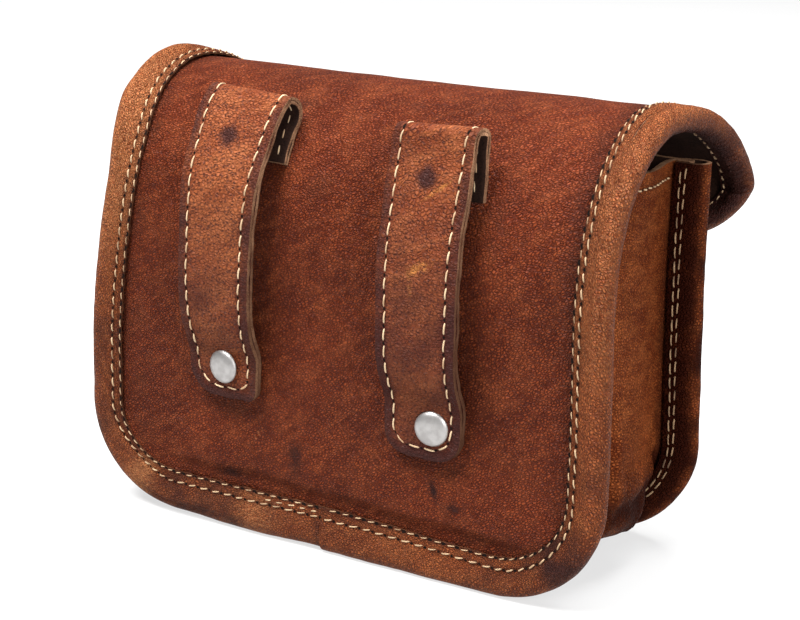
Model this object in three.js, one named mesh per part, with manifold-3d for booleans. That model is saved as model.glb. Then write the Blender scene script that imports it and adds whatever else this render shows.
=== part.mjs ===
// Leather belt bag: one panel makes the back, the roof and the front flap, and its whole edge is
// rolled in a binding. A gusset joins it to a crowned front panel with a binding of its own.
// Two straps fold over at the top of the back and are riveted below, so a waist belt runs behind them.
// Millimetres, +Z up. The flap and the front face -Y, the belt loops face +Y, and the bag stands on z = 0.

import * as THREE from "three";
import { mergeVertices } from "three/addons/utils/BufferGeometryUtils.js";
import Module from "manifold-3d";

const wasm = await Module();
wasm.setup();

// Driving dimensions
const BAG_WIDTH = 147;
const CORNER_RADIUS = 28;
const LEATHER = 1.6;
const GAP = 0.3;

// The panel seen from the side: depth runs from the back face towards the flap
const STRAIGHT_BACK = 68;
const ROOF_TOP = { depth: 33, height: 114.3 };
const FLAP_FRONT = { depth: 77.8, height: 88 };
const FLAP_TIP = { depth: 75.8, height: 65 };
const ROOF_PULL = { backUp: 30, backIn: 18, frontOut: 20, frontUp: 11 };
const FLAP_CORNER = 15;
const FLAP_BELLY = 13;
const FLAP_TUCK = 4;
const FLAP_FLARE = 0.012;
const TOP_TAPER = 0.036;

// The rolled binding, measured from the middle of its bead
const BINDING = 1.3;
const BEAD = { back: 3.4, flap: 3.1 };
const BEAD_SINK = { back: 0, flap: 1.3 };
const EDGE_IN = 1.6;
const SLOT_GAP = { back: GAP, flap: 0.5 };
const LIP = { side: 4.9, foot: 7 };
const INNER_LIP = { back: 4.6, flap: 4.9 };
const BEAD_ANGLES = [100, 77, 54, 33, 14, -14, -33, -54, -77, -100];

// Front panel and gusset
const FRONT_DEPTH = 55;
const FRONT_TOP = 99;
const FRONT_CROWN = 12.5;
const GUSSET_TOP = 102.5;
const GUSSET_INSET = 9;
const GUSSET_BULGE = { side: 2.4, corner: 5.2 };
const GATHER = { depth: 1.3, folds: 3 };

// Belt loops: doubled straps
const STRAP = { width: 21.4, footWidth: 20, thick: 2.8, endRadius: 7 };
const STRAP_TAB = { low: 94, high: 105.5 };
const STRAP_FOLD = 2.9;
const STRAP_END = 33.8;
const RIVET_HEIGHT = 41.9;
const LOOPS = [
  { side: "left", centre: 29.4, lift: 2.2, topLift: -0.7, rivetShift: -0.1 },
  { side: "right", centre: -27.5, lift: -2.2, topLift: -2.2, rivetShift: -2.7 },
];
// The strap's middle line below its fold, out from the back face and up from the base
const STRAP_RUN = [
  { out: -2.4, up: 104.2 },
  { out: 0.4, up: 100.3 },
  { out: 3, up: 95.8 },
  { out: 5, up: 91.2 },
  { out: 6.2, up: 86.2 },
  { out: 6.9, up: 80.8 },
  { out: 7.1, up: 75 },
  { out: 7.1, up: 69.3 },
  { out: 7.1, up: 63.8 },
  { out: 6.7, up: 58.2 },
  { out: 5.6, up: 53 },
  { out: 4.2, up: 50.3 },
  { out: 2.55, up: 48.2 },
  { out: 1.74, up: 46.7 },
  { out: 1.7, up: 44.5 },
];

// Rivets and the flap's snap
const CAP = { radius: 4.4, rise: 1.5, rim: 0.5 };
const POST_RADIUS = 1.5;
const HOLE_RADIUS = 1.85;
const BACK_PLATE = { radius: 3.4, thick: 0.9 };
const SNAP_ABOVE_TIP = 19;
const ROUND_SIDES = 16;

// Finishes
const leather = (color) => new THREE.MeshStandardMaterial({ color, roughness: 0.6, metalness: 0 });
const RED_BROWN = leather(0x7a3a1d);
const TAN = leather(0x9a5f38);
const STRAP_BROWN = leather(0x8a5230);
const NICKEL = new THREE.MeshStandardMaterial({ color: 0xc8c6c0, roughness: 0.3, metalness: 1 });

const smooth = (from, to, value) => THREE.MathUtils.smoothstep(value, from, to);
const deg = THREE.MathUtils.degToRad;
const spread = (from, to, steps) => Array.from({ length: steps + 1 }, (_, i) => from + ((to - from) * i) / steps);

// Panel profile, walked by its length from the foot of the back to the tip of the flap
const flat = (depth, height) => new THREE.Vector2(depth, height);
const profile = new THREE.CurvePath();
profile.add(new THREE.LineCurve(flat(0, 0), flat(0, STRAIGHT_BACK)));
profile.add(
  new THREE.CubicBezierCurve(
    flat(0, STRAIGHT_BACK),
    flat(0, STRAIGHT_BACK + ROOF_PULL.backUp),
    flat(ROOF_TOP.depth - ROOF_PULL.backIn, ROOF_TOP.height),
    flat(ROOF_TOP.depth, ROOF_TOP.height),
  ),
);
profile.add(
  new THREE.CubicBezierCurve(
    flat(ROOF_TOP.depth, ROOF_TOP.height),
    flat(ROOF_TOP.depth + ROOF_PULL.frontOut, ROOF_TOP.height),
    flat(FLAP_FRONT.depth, FLAP_FRONT.height + ROOF_PULL.frontUp),
    flat(FLAP_FRONT.depth, FLAP_FRONT.height),
  ),
);
profile.add(
  new THREE.LineCurve(flat(FLAP_FRONT.depth, FLAP_FRONT.height), flat(FLAP_TIP.depth, FLAP_TIP.height)),
);
const PANEL_LENGTH = profile.getLength();
const [BACK_END, ROOF_END] = profile.getCurveLengths();

// Lengths at which the curved stretch is cut, shared by the panel and its binding so their facets run alike
const CURVED_ROWS = spread(BACK_END, PANEL_LENGTH - FLAP_CORNER, 23).slice(0, -1);

// The bag grows narrower from its belly to its roof
const taper = (s) => TOP_TAPER * smooth(38, 100, s);

// Where a point of the flat pattern lies: x across, s along the panel, n out from its outer face
function onPanel(x, s, n) {
  const towardsTip = smooth(ROOF_END, PANEL_LENGTH, s);
  const side = Math.min(1, Math.abs(x) / (BAG_WIDTH / 2));
  const along = THREE.MathUtils.clamp(s - FLAP_BELLY * side * side * towardsTip, 0, PANEL_LENGTH);
  const at = profile.getPoint(along / PANEL_LENGTH);
  const before = profile.getPoint(Math.max(0, along - 0.2) / PANEL_LENGTH);
  const after = profile.getPoint(Math.min(PANEL_LENGTH, along + 0.2) / PANEL_LENGTH);
  const run = after.sub(before).normalize();
  const width = 1 - taper(s) + (TOP_TAPER + FLAP_FLARE) * towardsTip;
  const tuck = FLAP_TUCK * (1 - side * side) * towardsTip;
  return new THREE.Vector3(x * width, -(at.x - n * run.y - tuck), at.y + n * run.x);
}

// The same for the front panel, which stands upright: n runs out to the front
const onFront = (x, s, n) => new THREE.Vector3(x * (1 - taper(s)), -(FRONT_DEPTH + n), s);

// Length along the panel at a height on its back
function lengthAtHeight(height) {
  let low = 0;
  let high = ROOF_END;
  for (let i = 0; i < 40; i++) {
    const middle = (low + high) / 2;
    if (profile.getPoint(middle / PANEL_LENGTH).y < height) low = middle;
    else high = middle;
  }
  return low;
}

// A closed solid lofted through wall sections. Each section pairs the points of two faces of the wall.
function loftWall(sections, closed = false) {
  const pairs = sections[0].faceA.length;
  const size = pairs * 2;
  const positions = [];
  for (const { faceA, faceB } of sections)
    for (const point of [...faceA, ...faceB.slice().reverse()]) positions.push(point.x, point.y, point.z);
  const index = [];
  const quad = (a, b, c, d) => index.push(a, b, c, a, c, d);
  const last = closed ? sections.length : sections.length - 1;
  for (let i = 0; i < last; i++)
    for (let k = 0; k < size; k++) {
      const next = ((i + 1) % sections.length) * size;
      quad(i * size + k, i * size + ((k + 1) % size), next + ((k + 1) % size), next + k);
    }
  if (!closed) {
    const end = (sections.length - 1) * size;
    for (let k = 0; k < pairs - 1; k++) {
      quad(k + 1, k, size - 1 - k, size - 2 - k);
      quad(end + k, end + k + 1, end + size - 2 - k, end + size - 1 - k);
    }
  }
  const geometry = new THREE.BufferGeometry();
  geometry.setAttribute("position", new THREE.Float32BufferAttribute(positions, 3));
  geometry.setIndex(index);
  return facingOut(geometry);
}

// Turns every face round where the solid came out inside out
function facingOut(geometry) {
  const position = geometry.getAttribute("position");
  const corner = [0, 1, 2].map(() => new THREE.Vector3());
  let volume = 0;
  for (let i = 0; i < geometry.index.count; i += 3) {
    corner.forEach((point, k) => point.fromBufferAttribute(position, geometry.index.getX(i + k)));
    volume += corner[0].dot(corner[1].cross(corner[2]));
  }
  if (volume < 0) geometry.setIndex(Array.from(geometry.index.array).reverse());
  return geometry;
}

// The same shape with only positions, each shared corner stored once
const welded = (geometry) => mergeVertices(geometry.clone().deleteAttribute("normal").deleteAttribute("uv"), 1e-4);

// Cuts round holes through a solid, each given by a cylinder geometry in place
function withHoles(geometry, drills) {
  const solidOf = (source) => {
    const merged = welded(source);
    return new wasm.Manifold(
      new wasm.Mesh({
        numProp: 3,
        vertProperties: merged.getAttribute("position").array,
        triVerts: new Uint32Array(merged.index.array),
      }),
    );
  };
  const cut = drills.reduce((solid, drill) => solid.subtract(solidOf(drill)), solidOf(geometry)).getMesh();
  const result = new THREE.BufferGeometry();
  result.setAttribute("position", new THREE.Float32BufferAttribute(cut.vertProperties, 3));
  result.setIndex(Array.from(cut.triVerts));
  return result;
}

function drillAt(centre, length, turn = new THREE.Quaternion()) {
  const drill = new THREE.CylinderGeometry(HOLE_RADIUS, HOLE_RADIUS, length, ROUND_SIDES);
  return drill.applyQuaternion(turn).translate(...centre.toArray());
}

// The flap's snap: its seat on the outer face, and the turn that points +Y out of the leather there
function snapPlace() {
  const s = PANEL_LENGTH - SNAP_ABOVE_TIP;
  const seat = onPanel(0, s, GAP);
  const out = onPanel(0, s, 1).sub(seat).normalize();
  return { seat, turn: new THREE.Quaternion().setFromUnitVectors(new THREE.Vector3(0, 1, 0), out) };
}

// Stations round a corner of the flat pattern, with the direction out of the pattern
function cornerStations(centreX, centreS, radius, fromAngle, toAngle, steps) {
  return spread(fromAngle, toAngle, steps).map((angle) => {
    const nx = Math.cos(deg(angle));
    const ns = Math.sin(deg(angle));
    return { x: centreX + radius * nx, s: centreS + radius * ns, nx, ns };
  });
}

const sideStations = (x, list) => list.map((s) => ({ x, s, nx: Math.sign(x), ns: 0 }));

// Binding section: the leather runs from its raw edge outside, round the bead, to its raw edge inside
function bindingSection(station, place, onFlap) {
  const mix = (pair) => THREE.MathUtils.lerp(pair.back, pair.flap, onFlap);
  const bead = mix(BEAD);
  const stack = THREE.MathUtils.lerp(2 * LEATHER + GAP, LEATHER, onFlap);
  const middle = -stack / 2 - mix(BEAD_SINK);
  const lip = THREE.MathUtils.lerp(LIP.side, LIP.foot, station.ns < 0 ? station.ns * station.ns : 0);
  const innerLip = mix(INNER_LIP);
  const gap = mix(SLOT_GAP);
  const at = (a, n) => place(station.x + a * station.nx, station.s + a * station.ns, n);
  const round = (radius) =>
    BEAD_ANGLES.map((angle) => at(radius * Math.cos(deg(angle)), middle + radius * Math.sin(deg(angle))));
  const ends = (cover) => ({
    outer: [at(-lip, gap + cover), at(-lip * 0.62, gap + cover)],
    inner: [at(-innerLip, -stack - gap - cover)],
  });
  const outside = ends(BINDING);
  const inside = ends(0);
  return {
    faceA: [...outside.outer, ...round(bead), ...outside.inner],
    faceB: [...inside.outer, ...round(bead - BINDING), ...inside.inner],
  };
}

// Binding round the whole panel: foot, side, flap edge, side
function panelBinding() {
  const half = BAG_WIDTH / 2 - BEAD.back;
  const low = BEAD.back;
  const high = PANEL_LENGTH - BEAD.flap;
  const footRadius = CORNER_RADIUS - BEAD.back;
  const flapRadius = FLAP_CORNER - BEAD.flap;
  const flapEdge = spread(half - flapRadius, flapRadius - half, 8).slice(1, -1);
  const stations = [
    ...cornerStations(half - footRadius, low + footRadius, footRadius, -90, 0, 7),
    ...sideStations(half, CURVED_ROWS),
    ...cornerStations(half - flapRadius, high - flapRadius, flapRadius, 0, 90, 6),
    ...flapEdge.map((x) => ({ x, s: high, nx: 0, ns: 1 })),
    ...cornerStations(flapRadius - half, high - flapRadius, flapRadius, 90, 180, 6),
    ...sideStations(-half, CURVED_ROWS.slice().reverse()),
    ...cornerStations(footRadius - half, low + footRadius, footRadius, 180, 270, 7),
  ];
  const pastGusset = lengthAtHeight(GUSSET_TOP) + 2;
  return loftWall(
    stations.map((station) => bindingSection(station, onPanel, smooth(pastGusset, pastGusset + 8, station.s))),
    true,
  );
}

// Binding round the front panel: down one side, along the foot, up the other
function frontBinding() {
  const half = BAG_WIDTH / 2 - BEAD.back;
  const radius = CORNER_RADIUS - BEAD.back;
  const low = BEAD.back + radius;
  const upright = [FRONT_TOP, (FRONT_TOP + low) / 2];
  const stations = [
    ...sideStations(-half, upright),
    ...cornerStations(radius - half, low, radius, 180, 270, 7),
    ...cornerStations(half - radius, low, radius, -90, 0, 7),
    ...sideStations(half, upright.slice().reverse()),
  ];
  return loftWall(stations.map((station) => bindingSection(station, onFront, 0)));
}

// Half width of a sheet whose edge lies inside the bead, at a length along its pattern
function halfWidth(s, low, high, footRadius, tipRadius) {
  const half = BAG_WIDTH / 2 - BEAD.back - EDGE_IN;
  const inCorner = (radius, into) => radius - Math.sqrt(Math.max(0, radius * radius - (radius - into) ** 2));
  if (s - low < footRadius) return half - inCorner(footRadius, s - low);
  if (high - s < tipRadius) return half - inCorner(tipRadius, high - s);
  return half;
}

// Lengths at which a rounded end is cut into sections, closer together towards the edge
const roundedRows = (radius, steps) => spread(15, 90, steps).map((angle) => radius * (1 - Math.cos(deg(angle))));

// Back, roof and flap in one leather panel
function backPanel() {
  const low = BEAD.back + EDGE_IN;
  const high = PANEL_LENGTH - BEAD.flap - EDGE_IN;
  const footRadius = CORNER_RADIUS - low;
  const tipRadius = FLAP_CORNER - BEAD.flap - EDGE_IN;
  const rows = [
    ...roundedRows(footRadius, 6).map((into) => low + into),
    ...CURVED_ROWS,
    ...roundedRows(tipRadius, 5).reverse().map((into) => high - into),
  ];
  const sections = rows.map((s) => {
    const half = halfWidth(s, low, high, footRadius, tipRadius);
    const across = spread(-half, half, 8);
    return {
      faceA: across.map((x) => onPanel(x, s, 0)),
      faceB: across.map((x) => onPanel(x, s, -LEATHER)),
    };
  });
  const loopDrills = LOOPS.map(({ centre, lift, rivetShift }) =>
    drillAt(new THREE.Vector3(centre + rivetShift, -LEATHER / 2, RIVET_HEIGHT + lift), LEATHER * 4),
  );
  const { seat, turn } = snapPlace();
  return withHoles(loftWall(sections), [...loopDrills, drillAt(seat, LEATHER * 4, turn)]);
}

// How far the stuffed front stands out of its edge
const CROWN_EDGE = BAG_WIDTH / 2 - BEAD.back - LIP.side - 1.5;
function crown(x, height) {
  const foot = BEAD.back + LIP.foot;
  const across = Math.max(0, 1 - Math.abs(x / CROWN_EDGE) ** 2.4);
  const rise = smooth(foot, foot + 42, height);
  return FRONT_CROWN * across * rise * (1 - 0.7 * smooth(60, FRONT_TOP, height));
}

function frontPanel() {
  const low = BEAD.back + EDGE_IN;
  const footRadius = CORNER_RADIUS - low;
  const rows = [...roundedRows(footRadius, 6).map((into) => low + into), ...spread(footRadius + 10, FRONT_TOP, 9)];
  return loftWall(
    rows.map((s) => {
      const half = halfWidth(s, low, Infinity, footRadius, 0);
      const edge = Math.min(CROWN_EDGE, half - LIP.side);
      const across = [-half, ...spread(-edge, edge, 14), half];
      return {
        faceA: across.map((x) => onFront(x, s, crown(x, s))),
        faceB: across.map((x) => onFront(x, s, crown(x, s) - LEATHER)),
      };
    }),
  );
}

// Gusset: a channel whose two flanges lie under the panels, standing out between them and gathered at the foot corners
function gusset() {
  const wall = BAG_WIDTH / 2 - GUSSET_INSET;
  const radius = CORNER_RADIUS - GUSSET_INSET;
  const flange = GUSSET_INSET - BEAD.back - EDGE_IN;
  const cornerSteps = 15;
  const top = lengthAtHeight(GUSSET_TOP);
  const upright = [top, ...CURVED_ROWS.filter((s) => s < top - 2).reverse(), (BACK_END + CORNER_RADIUS) / 2];
  const stations = [
    ...sideStations(-wall, upright),
    ...cornerStations(radius - wall, CORNER_RADIUS, radius, 180, 270, cornerSteps),
    ...cornerStations(wall - radius, CORNER_RADIUS, radius, -90, 0, cornerSteps),
    ...sideStations(wall, upright.slice().reverse()),
  ];
  const inner = -LEATHER - GAP;
  const outer = inner - LEATHER;
  const sections = stations.map((station) => {
    const turn = Math.abs(Math.atan2(station.ns, Math.abs(station.nx)));
    const ruffle = GATHER.depth * Math.sin(2 * turn) * (0.5 + 0.5 * Math.cos(turn * 4 * GATHER.folds));
    const bulge = THREE.MathUtils.lerp(GUSSET_BULGE.side, GUSSET_BULGE.corner, Math.sin(2 * turn)) - ruffle;
    const above = Math.max(0, station.s - BACK_END);
    const frontS = station.s - above + (above * (FRONT_TOP - BACK_END)) / (top - BACK_END);
    const back = (a, n) => onPanel(station.x + a * station.nx, station.s + a * station.ns, n);
    const front = (a, n) => onFront(station.x + a * station.nx, frontS + a * station.ns, n);
    const face = (a, n) => {
      const between = [0.25, 0.5, 0.75].map((share) => {
        const out = a + bulge * Math.sin(Math.PI * share) ** 2;
        return back(out, n).lerp(front(out, n), share);
      });
      return [back(flange, n), back(a, n), ...between, front(a, n), front(flange, n)];
    };
    return { faceA: face(-LEATHER, inner), faceB: face(0, outer) };
  });
  return loftWall(sections);
}

// Middle line of a belt loop in its own side view, from the tab on the back, over the fold, to the free end
function strapLine({ lift, topLift }) {
  const clear = GAP + STRAP.thick / 2;
  const raise = (height) => height + THREE.MathUtils.lerp(lift, topLift, smooth(60, 90, height));
  const [low, high] = [STRAP_TAB.low, STRAP_TAB.high].map((height) => lengthAtHeight(raise(height)));
  const tab = spread(low, high, 3).map((s) => onPanel(0, s, clear));
  const foldCentre = onPanel(0, high, clear + STRAP_FOLD);
  const spoke = onPanel(0, high, clear).sub(foldCentre);
  const fold = [36, 72, 108, 144, 176].map((angle) =>
    spoke.clone().applyAxisAngle(new THREE.Vector3(1, 0, 0), deg(-angle)).add(foldCentre),
  );
  const run = STRAP_RUN.map(({ out, up }) => new THREE.Vector3(0, out, raise(up)));
  const curve = new THREE.CatmullRomCurve3([...fold.slice(-2), ...run]);
  const easy = curve.getPoints(32).slice(4);
  const foot = spread(20, 90, 4).map((angle) => STRAP_END + lift + STRAP.endRadius * (1 - Math.sin(deg(angle))));
  const end = foot.map((up) => new THREE.Vector3(0, clear, up));
  return [...tab, ...fold.slice(0, -1), ...easy, ...end];
}

// A doubled strap of constant thickness along that line, with rounded corners at its free end
function beltLoop(loop) {
  const { lift, rivetShift } = loop;
  const line = strapLine(loop);
  const sections = line.map((point, i) => {
    const run = line[Math.min(i + 1, line.length - 1)].clone().sub(line[Math.max(i - 1, 0)]).normalize();
    const out = new THREE.Vector3(0, -run.z, run.y).multiplyScalar(STRAP.thick / 2);
    const intoEnd = STRAP_END + lift + STRAP.endRadius - point.z;
    const drop = intoEnd > 0 ? STRAP.endRadius - Math.sqrt(STRAP.endRadius ** 2 - intoEnd ** 2) : 0;
    const width = THREE.MathUtils.lerp(STRAP.footWidth, STRAP.width, smooth(RIVET_HEIGHT, 62, point.z - lift));
    const half = width / 2 - drop;
    const across = [-half, 0, half].map((x) => new THREE.Vector3(x, 0, 0));
    return {
      faceA: across.map((offset) => point.clone().add(offset).add(out)),
      faceB: across.map((offset) => point.clone().add(offset).sub(out)),
    };
  });
  const through = new THREE.Vector3(rivetShift, GAP + STRAP.thick / 2, RIVET_HEIGHT + lift);
  return withHoles(loftWall(sections), [drillAt(through, STRAP.thick * 4)]);
}

// A domed cap on a post, turned about +Y, with a flat plate at the post's far end
function rivet(grip, plate) {
  const dome = spread(0, 60, 5).map((angle) => {
    const share = Math.sin(deg(angle)) / Math.sin(deg(60));
    return new THREE.Vector2(CAP.radius * share, GAP + CAP.rim + CAP.rise * (1 - share * share));
  });
  const outline = [
    ...dome,
    new THREE.Vector2(CAP.radius, GAP),
    new THREE.Vector2(POST_RADIUS, GAP),
    new THREE.Vector2(POST_RADIUS, -grip - GAP),
    new THREE.Vector2(plate.radius, -grip - GAP),
    new THREE.Vector2(plate.radius, -grip - GAP - plate.thick),
    new THREE.Vector2(0, -grip - GAP - plate.thick),
  ];
  return facingOut(welded(new THREE.LatheGeometry(outline.reverse(), ROUND_SIDES)));
}

function piece(name, geometry, material) {
  geometry.computeVertexNormals();
  const mesh = new THREE.Mesh(geometry, material);
  mesh.name = name;
  return mesh;
}

// Assembly
const bag = new THREE.Group();
bag.add(piece("back_panel", backPanel(), RED_BROWN));
bag.add(piece("panel_binding", panelBinding(), TAN));
bag.add(piece("front_panel", frontPanel(), RED_BROWN));
bag.add(piece("front_binding", frontBinding(), TAN));
bag.add(piece("gusset", gusset(), TAN));

const strapGrip = STRAP.thick + GAP + LEATHER;
for (const loop of LOOPS) {
  const place = new THREE.Group();
  place.position.x = loop.centre;
  place.add(piece(`belt_loop_${loop.side}`, beltLoop(loop), STRAP_BROWN));
  const cap = piece(`loop_rivet_${loop.side}`, rivet(strapGrip, BACK_PLATE), NICKEL);
  cap.position.set(loop.rivetShift, GAP + STRAP.thick, RIVET_HEIGHT + loop.lift);
  place.add(cap);
  bag.add(place);
}

const { seat, turn } = snapPlace();
const frontFace = FRONT_DEPTH + crown(0, seat.z);
const snapGrip = LEATHER + 2 * GAP;
const stud = { radius: BACK_PLATE.radius, thick: -seat.y - snapGrip - GAP - frontFace - 4 * GAP };
const snap = piece("flap_snap", rivet(snapGrip, stud), NICKEL);
snap.position.copy(seat);
snap.quaternion.copy(turn);
bag.add(snap);

// The origin lies under the middle of the bag, on the surface that it stands on
const box = new THREE.Box3().setFromObject(bag);
bag.position.set(0, -(box.min.y + box.max.y) / 2, -box.min.z);
const part = new THREE.Group();
part.add(bag);

export default part;
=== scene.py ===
"""Leather belt bag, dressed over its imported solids.

One folded panel makes the back, the roof and the flap, and its whole edge is rolled in a binding. A gathered
gusset joins it to a full front with a binding of its own, and two doubled straps are riveted to the back.
Sizes are in millimetres until a mesh is finished.
"""

from __future__ import annotations

import logging
import math
from bisect import bisect_right
from collections.abc import Callable, Sequence
from dataclasses import dataclass, field
from enum import Enum

import bmesh
import bpy
from mathutils import Matrix, Vector, noise
from mathutils.geometry import interpolate_bezier

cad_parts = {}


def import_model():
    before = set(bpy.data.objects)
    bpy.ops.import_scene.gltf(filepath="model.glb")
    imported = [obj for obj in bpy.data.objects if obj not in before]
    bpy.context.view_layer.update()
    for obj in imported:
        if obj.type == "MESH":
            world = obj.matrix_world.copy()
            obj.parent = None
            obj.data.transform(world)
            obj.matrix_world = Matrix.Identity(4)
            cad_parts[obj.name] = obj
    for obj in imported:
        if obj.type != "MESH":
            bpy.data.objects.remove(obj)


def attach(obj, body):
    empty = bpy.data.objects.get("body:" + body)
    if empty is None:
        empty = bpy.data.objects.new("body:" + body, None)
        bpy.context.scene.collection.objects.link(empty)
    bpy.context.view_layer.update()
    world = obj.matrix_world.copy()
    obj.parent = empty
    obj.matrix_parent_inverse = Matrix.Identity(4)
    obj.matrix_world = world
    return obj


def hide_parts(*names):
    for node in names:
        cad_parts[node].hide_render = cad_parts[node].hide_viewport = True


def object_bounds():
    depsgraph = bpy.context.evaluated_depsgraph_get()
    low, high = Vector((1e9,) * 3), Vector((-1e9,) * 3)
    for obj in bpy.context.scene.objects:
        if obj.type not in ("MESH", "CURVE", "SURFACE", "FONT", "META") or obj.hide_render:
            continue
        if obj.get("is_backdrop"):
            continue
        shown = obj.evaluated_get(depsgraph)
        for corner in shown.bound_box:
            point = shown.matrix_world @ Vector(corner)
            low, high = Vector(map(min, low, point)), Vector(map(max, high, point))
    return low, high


LOG = logging.getLogger("belt_bag")
MM = 0.001
BODY = "root"

Color = tuple[float, float, float]
Paint = tuple[float, float, float]
NO_PAINT: Paint = (0.0, 0.0, 0.0)
THICKNESS = "thickness"
Socket = bpy.types.NodeSocket
TINY = 1e-9

# Radii of the rolled binding on the back and on the flap, and the height at which the gusset ends.
BEAD_BACK = 3.4
BEAD_FLAP = 3.1
GUSSET_TOP = 102.5

# How far a binding covers the edge of its panel.
LIP_COVER = 4.5

# Where the two straps are fixed, across the back.
STRAPS_AT = (29.4, -27.5)


class Side(Enum):
    """The two faces of a strap, as directions out of its middle line."""

    OUTER = 1
    INNER = -1


class Slot(Enum):
    """Material slots of the record."""

    PANEL = "panel_leather"
    BINDING = "binding_leather"
    STRAP = "strap_leather"
    NICKEL = "nickel"


def smooth(low: float, high: float, value: float) -> float:
    """Eased step from 0 at low to 1 at high.

    Args:
        low: value at which the step starts.
        high: value at which it ends.
        value: where it is read.

    Returns:
        A number from 0 to 1.
    """
    share = min(1.0, max(0.0, (value - low) / (high - low)))
    return share * share * (3 - 2 * share)


def lerp(first: float, second: float, share: float) -> float:
    """Value that lies a share of the way from first to second."""
    return first + (second - first) * share


def hump(value: float, width: float) -> float:
    """Bell curve of height 1 round zero."""
    return math.exp(-((value / width) ** 2))


def waver(x: float, y: float, size: float, seed: float = 0.0) -> float:
    """Smooth unevenness from about -1 to 1.

    Args:
        x: first flat coordinate.
        y: second flat coordinate.
        size: width of one wave, in the same unit.
        seed: tells one use from another.

    Returns:
        The noise at that place.
    """
    return noise.noise(Vector((x / size, y / size, seed)))


def walk(points: Sequence[Vector]) -> list[float]:
    """Length walked to each point of a line."""
    lengths = [0.0]
    for before, point in zip(points, points[1:]):
        lengths.append(lengths[-1] + (point - before).length)
    return lengths


def on_line(points: Sequence[Vector], lengths: Sequence[float], t: float) -> tuple[Vector, Vector]:
    """Reads a line of points, past its ends in a straight way.

    Args:
        points: the line.
        lengths: length walked to each of its points.
        t: length at which it is read.

    Returns:
        The place there and the direction in which the line runs.
    """
    index = min(len(points) - 3, max(1, bisect_right(lengths, t) - 1))
    share = (t - lengths[index]) / max(TINY, lengths[index + 1] - lengths[index])
    here = points[index].lerp(points[index + 1], share)
    ahead = points[index + 2] - points[index]
    behind = points[index + 1] - points[index - 1]
    run = behind.lerp(ahead, min(1.0, max(0.0, share))).normalized()
    return here, run


@dataclass(frozen=True)
class Formed:
    """One formed point of leather: its place, its flat coordinates, its paint and its share of thickness."""

    place: Vector
    flat: tuple[float, float]
    paint: Paint = NO_PAINT
    thick: float = 1.0


@dataclass(frozen=True)
class Spot:
    """A soft round mark on flat leather.

    Its place and its radii are in millimetres of the flat cut, turn is in degrees, and a power over 2 makes
    it square.
    """

    x: float
    s: float
    wide: float
    tall: float
    amount: float
    turn: float = 0.0
    power: float = 2.0

    def at(self, x: float, s: float) -> float:
        """How strong the mark is at a flat place."""
        angle = math.radians(self.turn)
        across = (x - self.x) * math.cos(angle) + (s - self.s) * math.sin(angle)
        along = (s - self.s) * math.cos(angle) - (x - self.x) * math.sin(angle)
        fall = abs(across / self.wide) ** self.power + abs(along / self.tall) ** self.power
        return self.amount * math.exp(-fall)


def marks(spots: Sequence[Spot], x: float, s: float) -> float:
    """Strength of several marks together, at most 1."""
    return min(1.0, sum(spot.at(x, s) for spot in spots))


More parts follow.
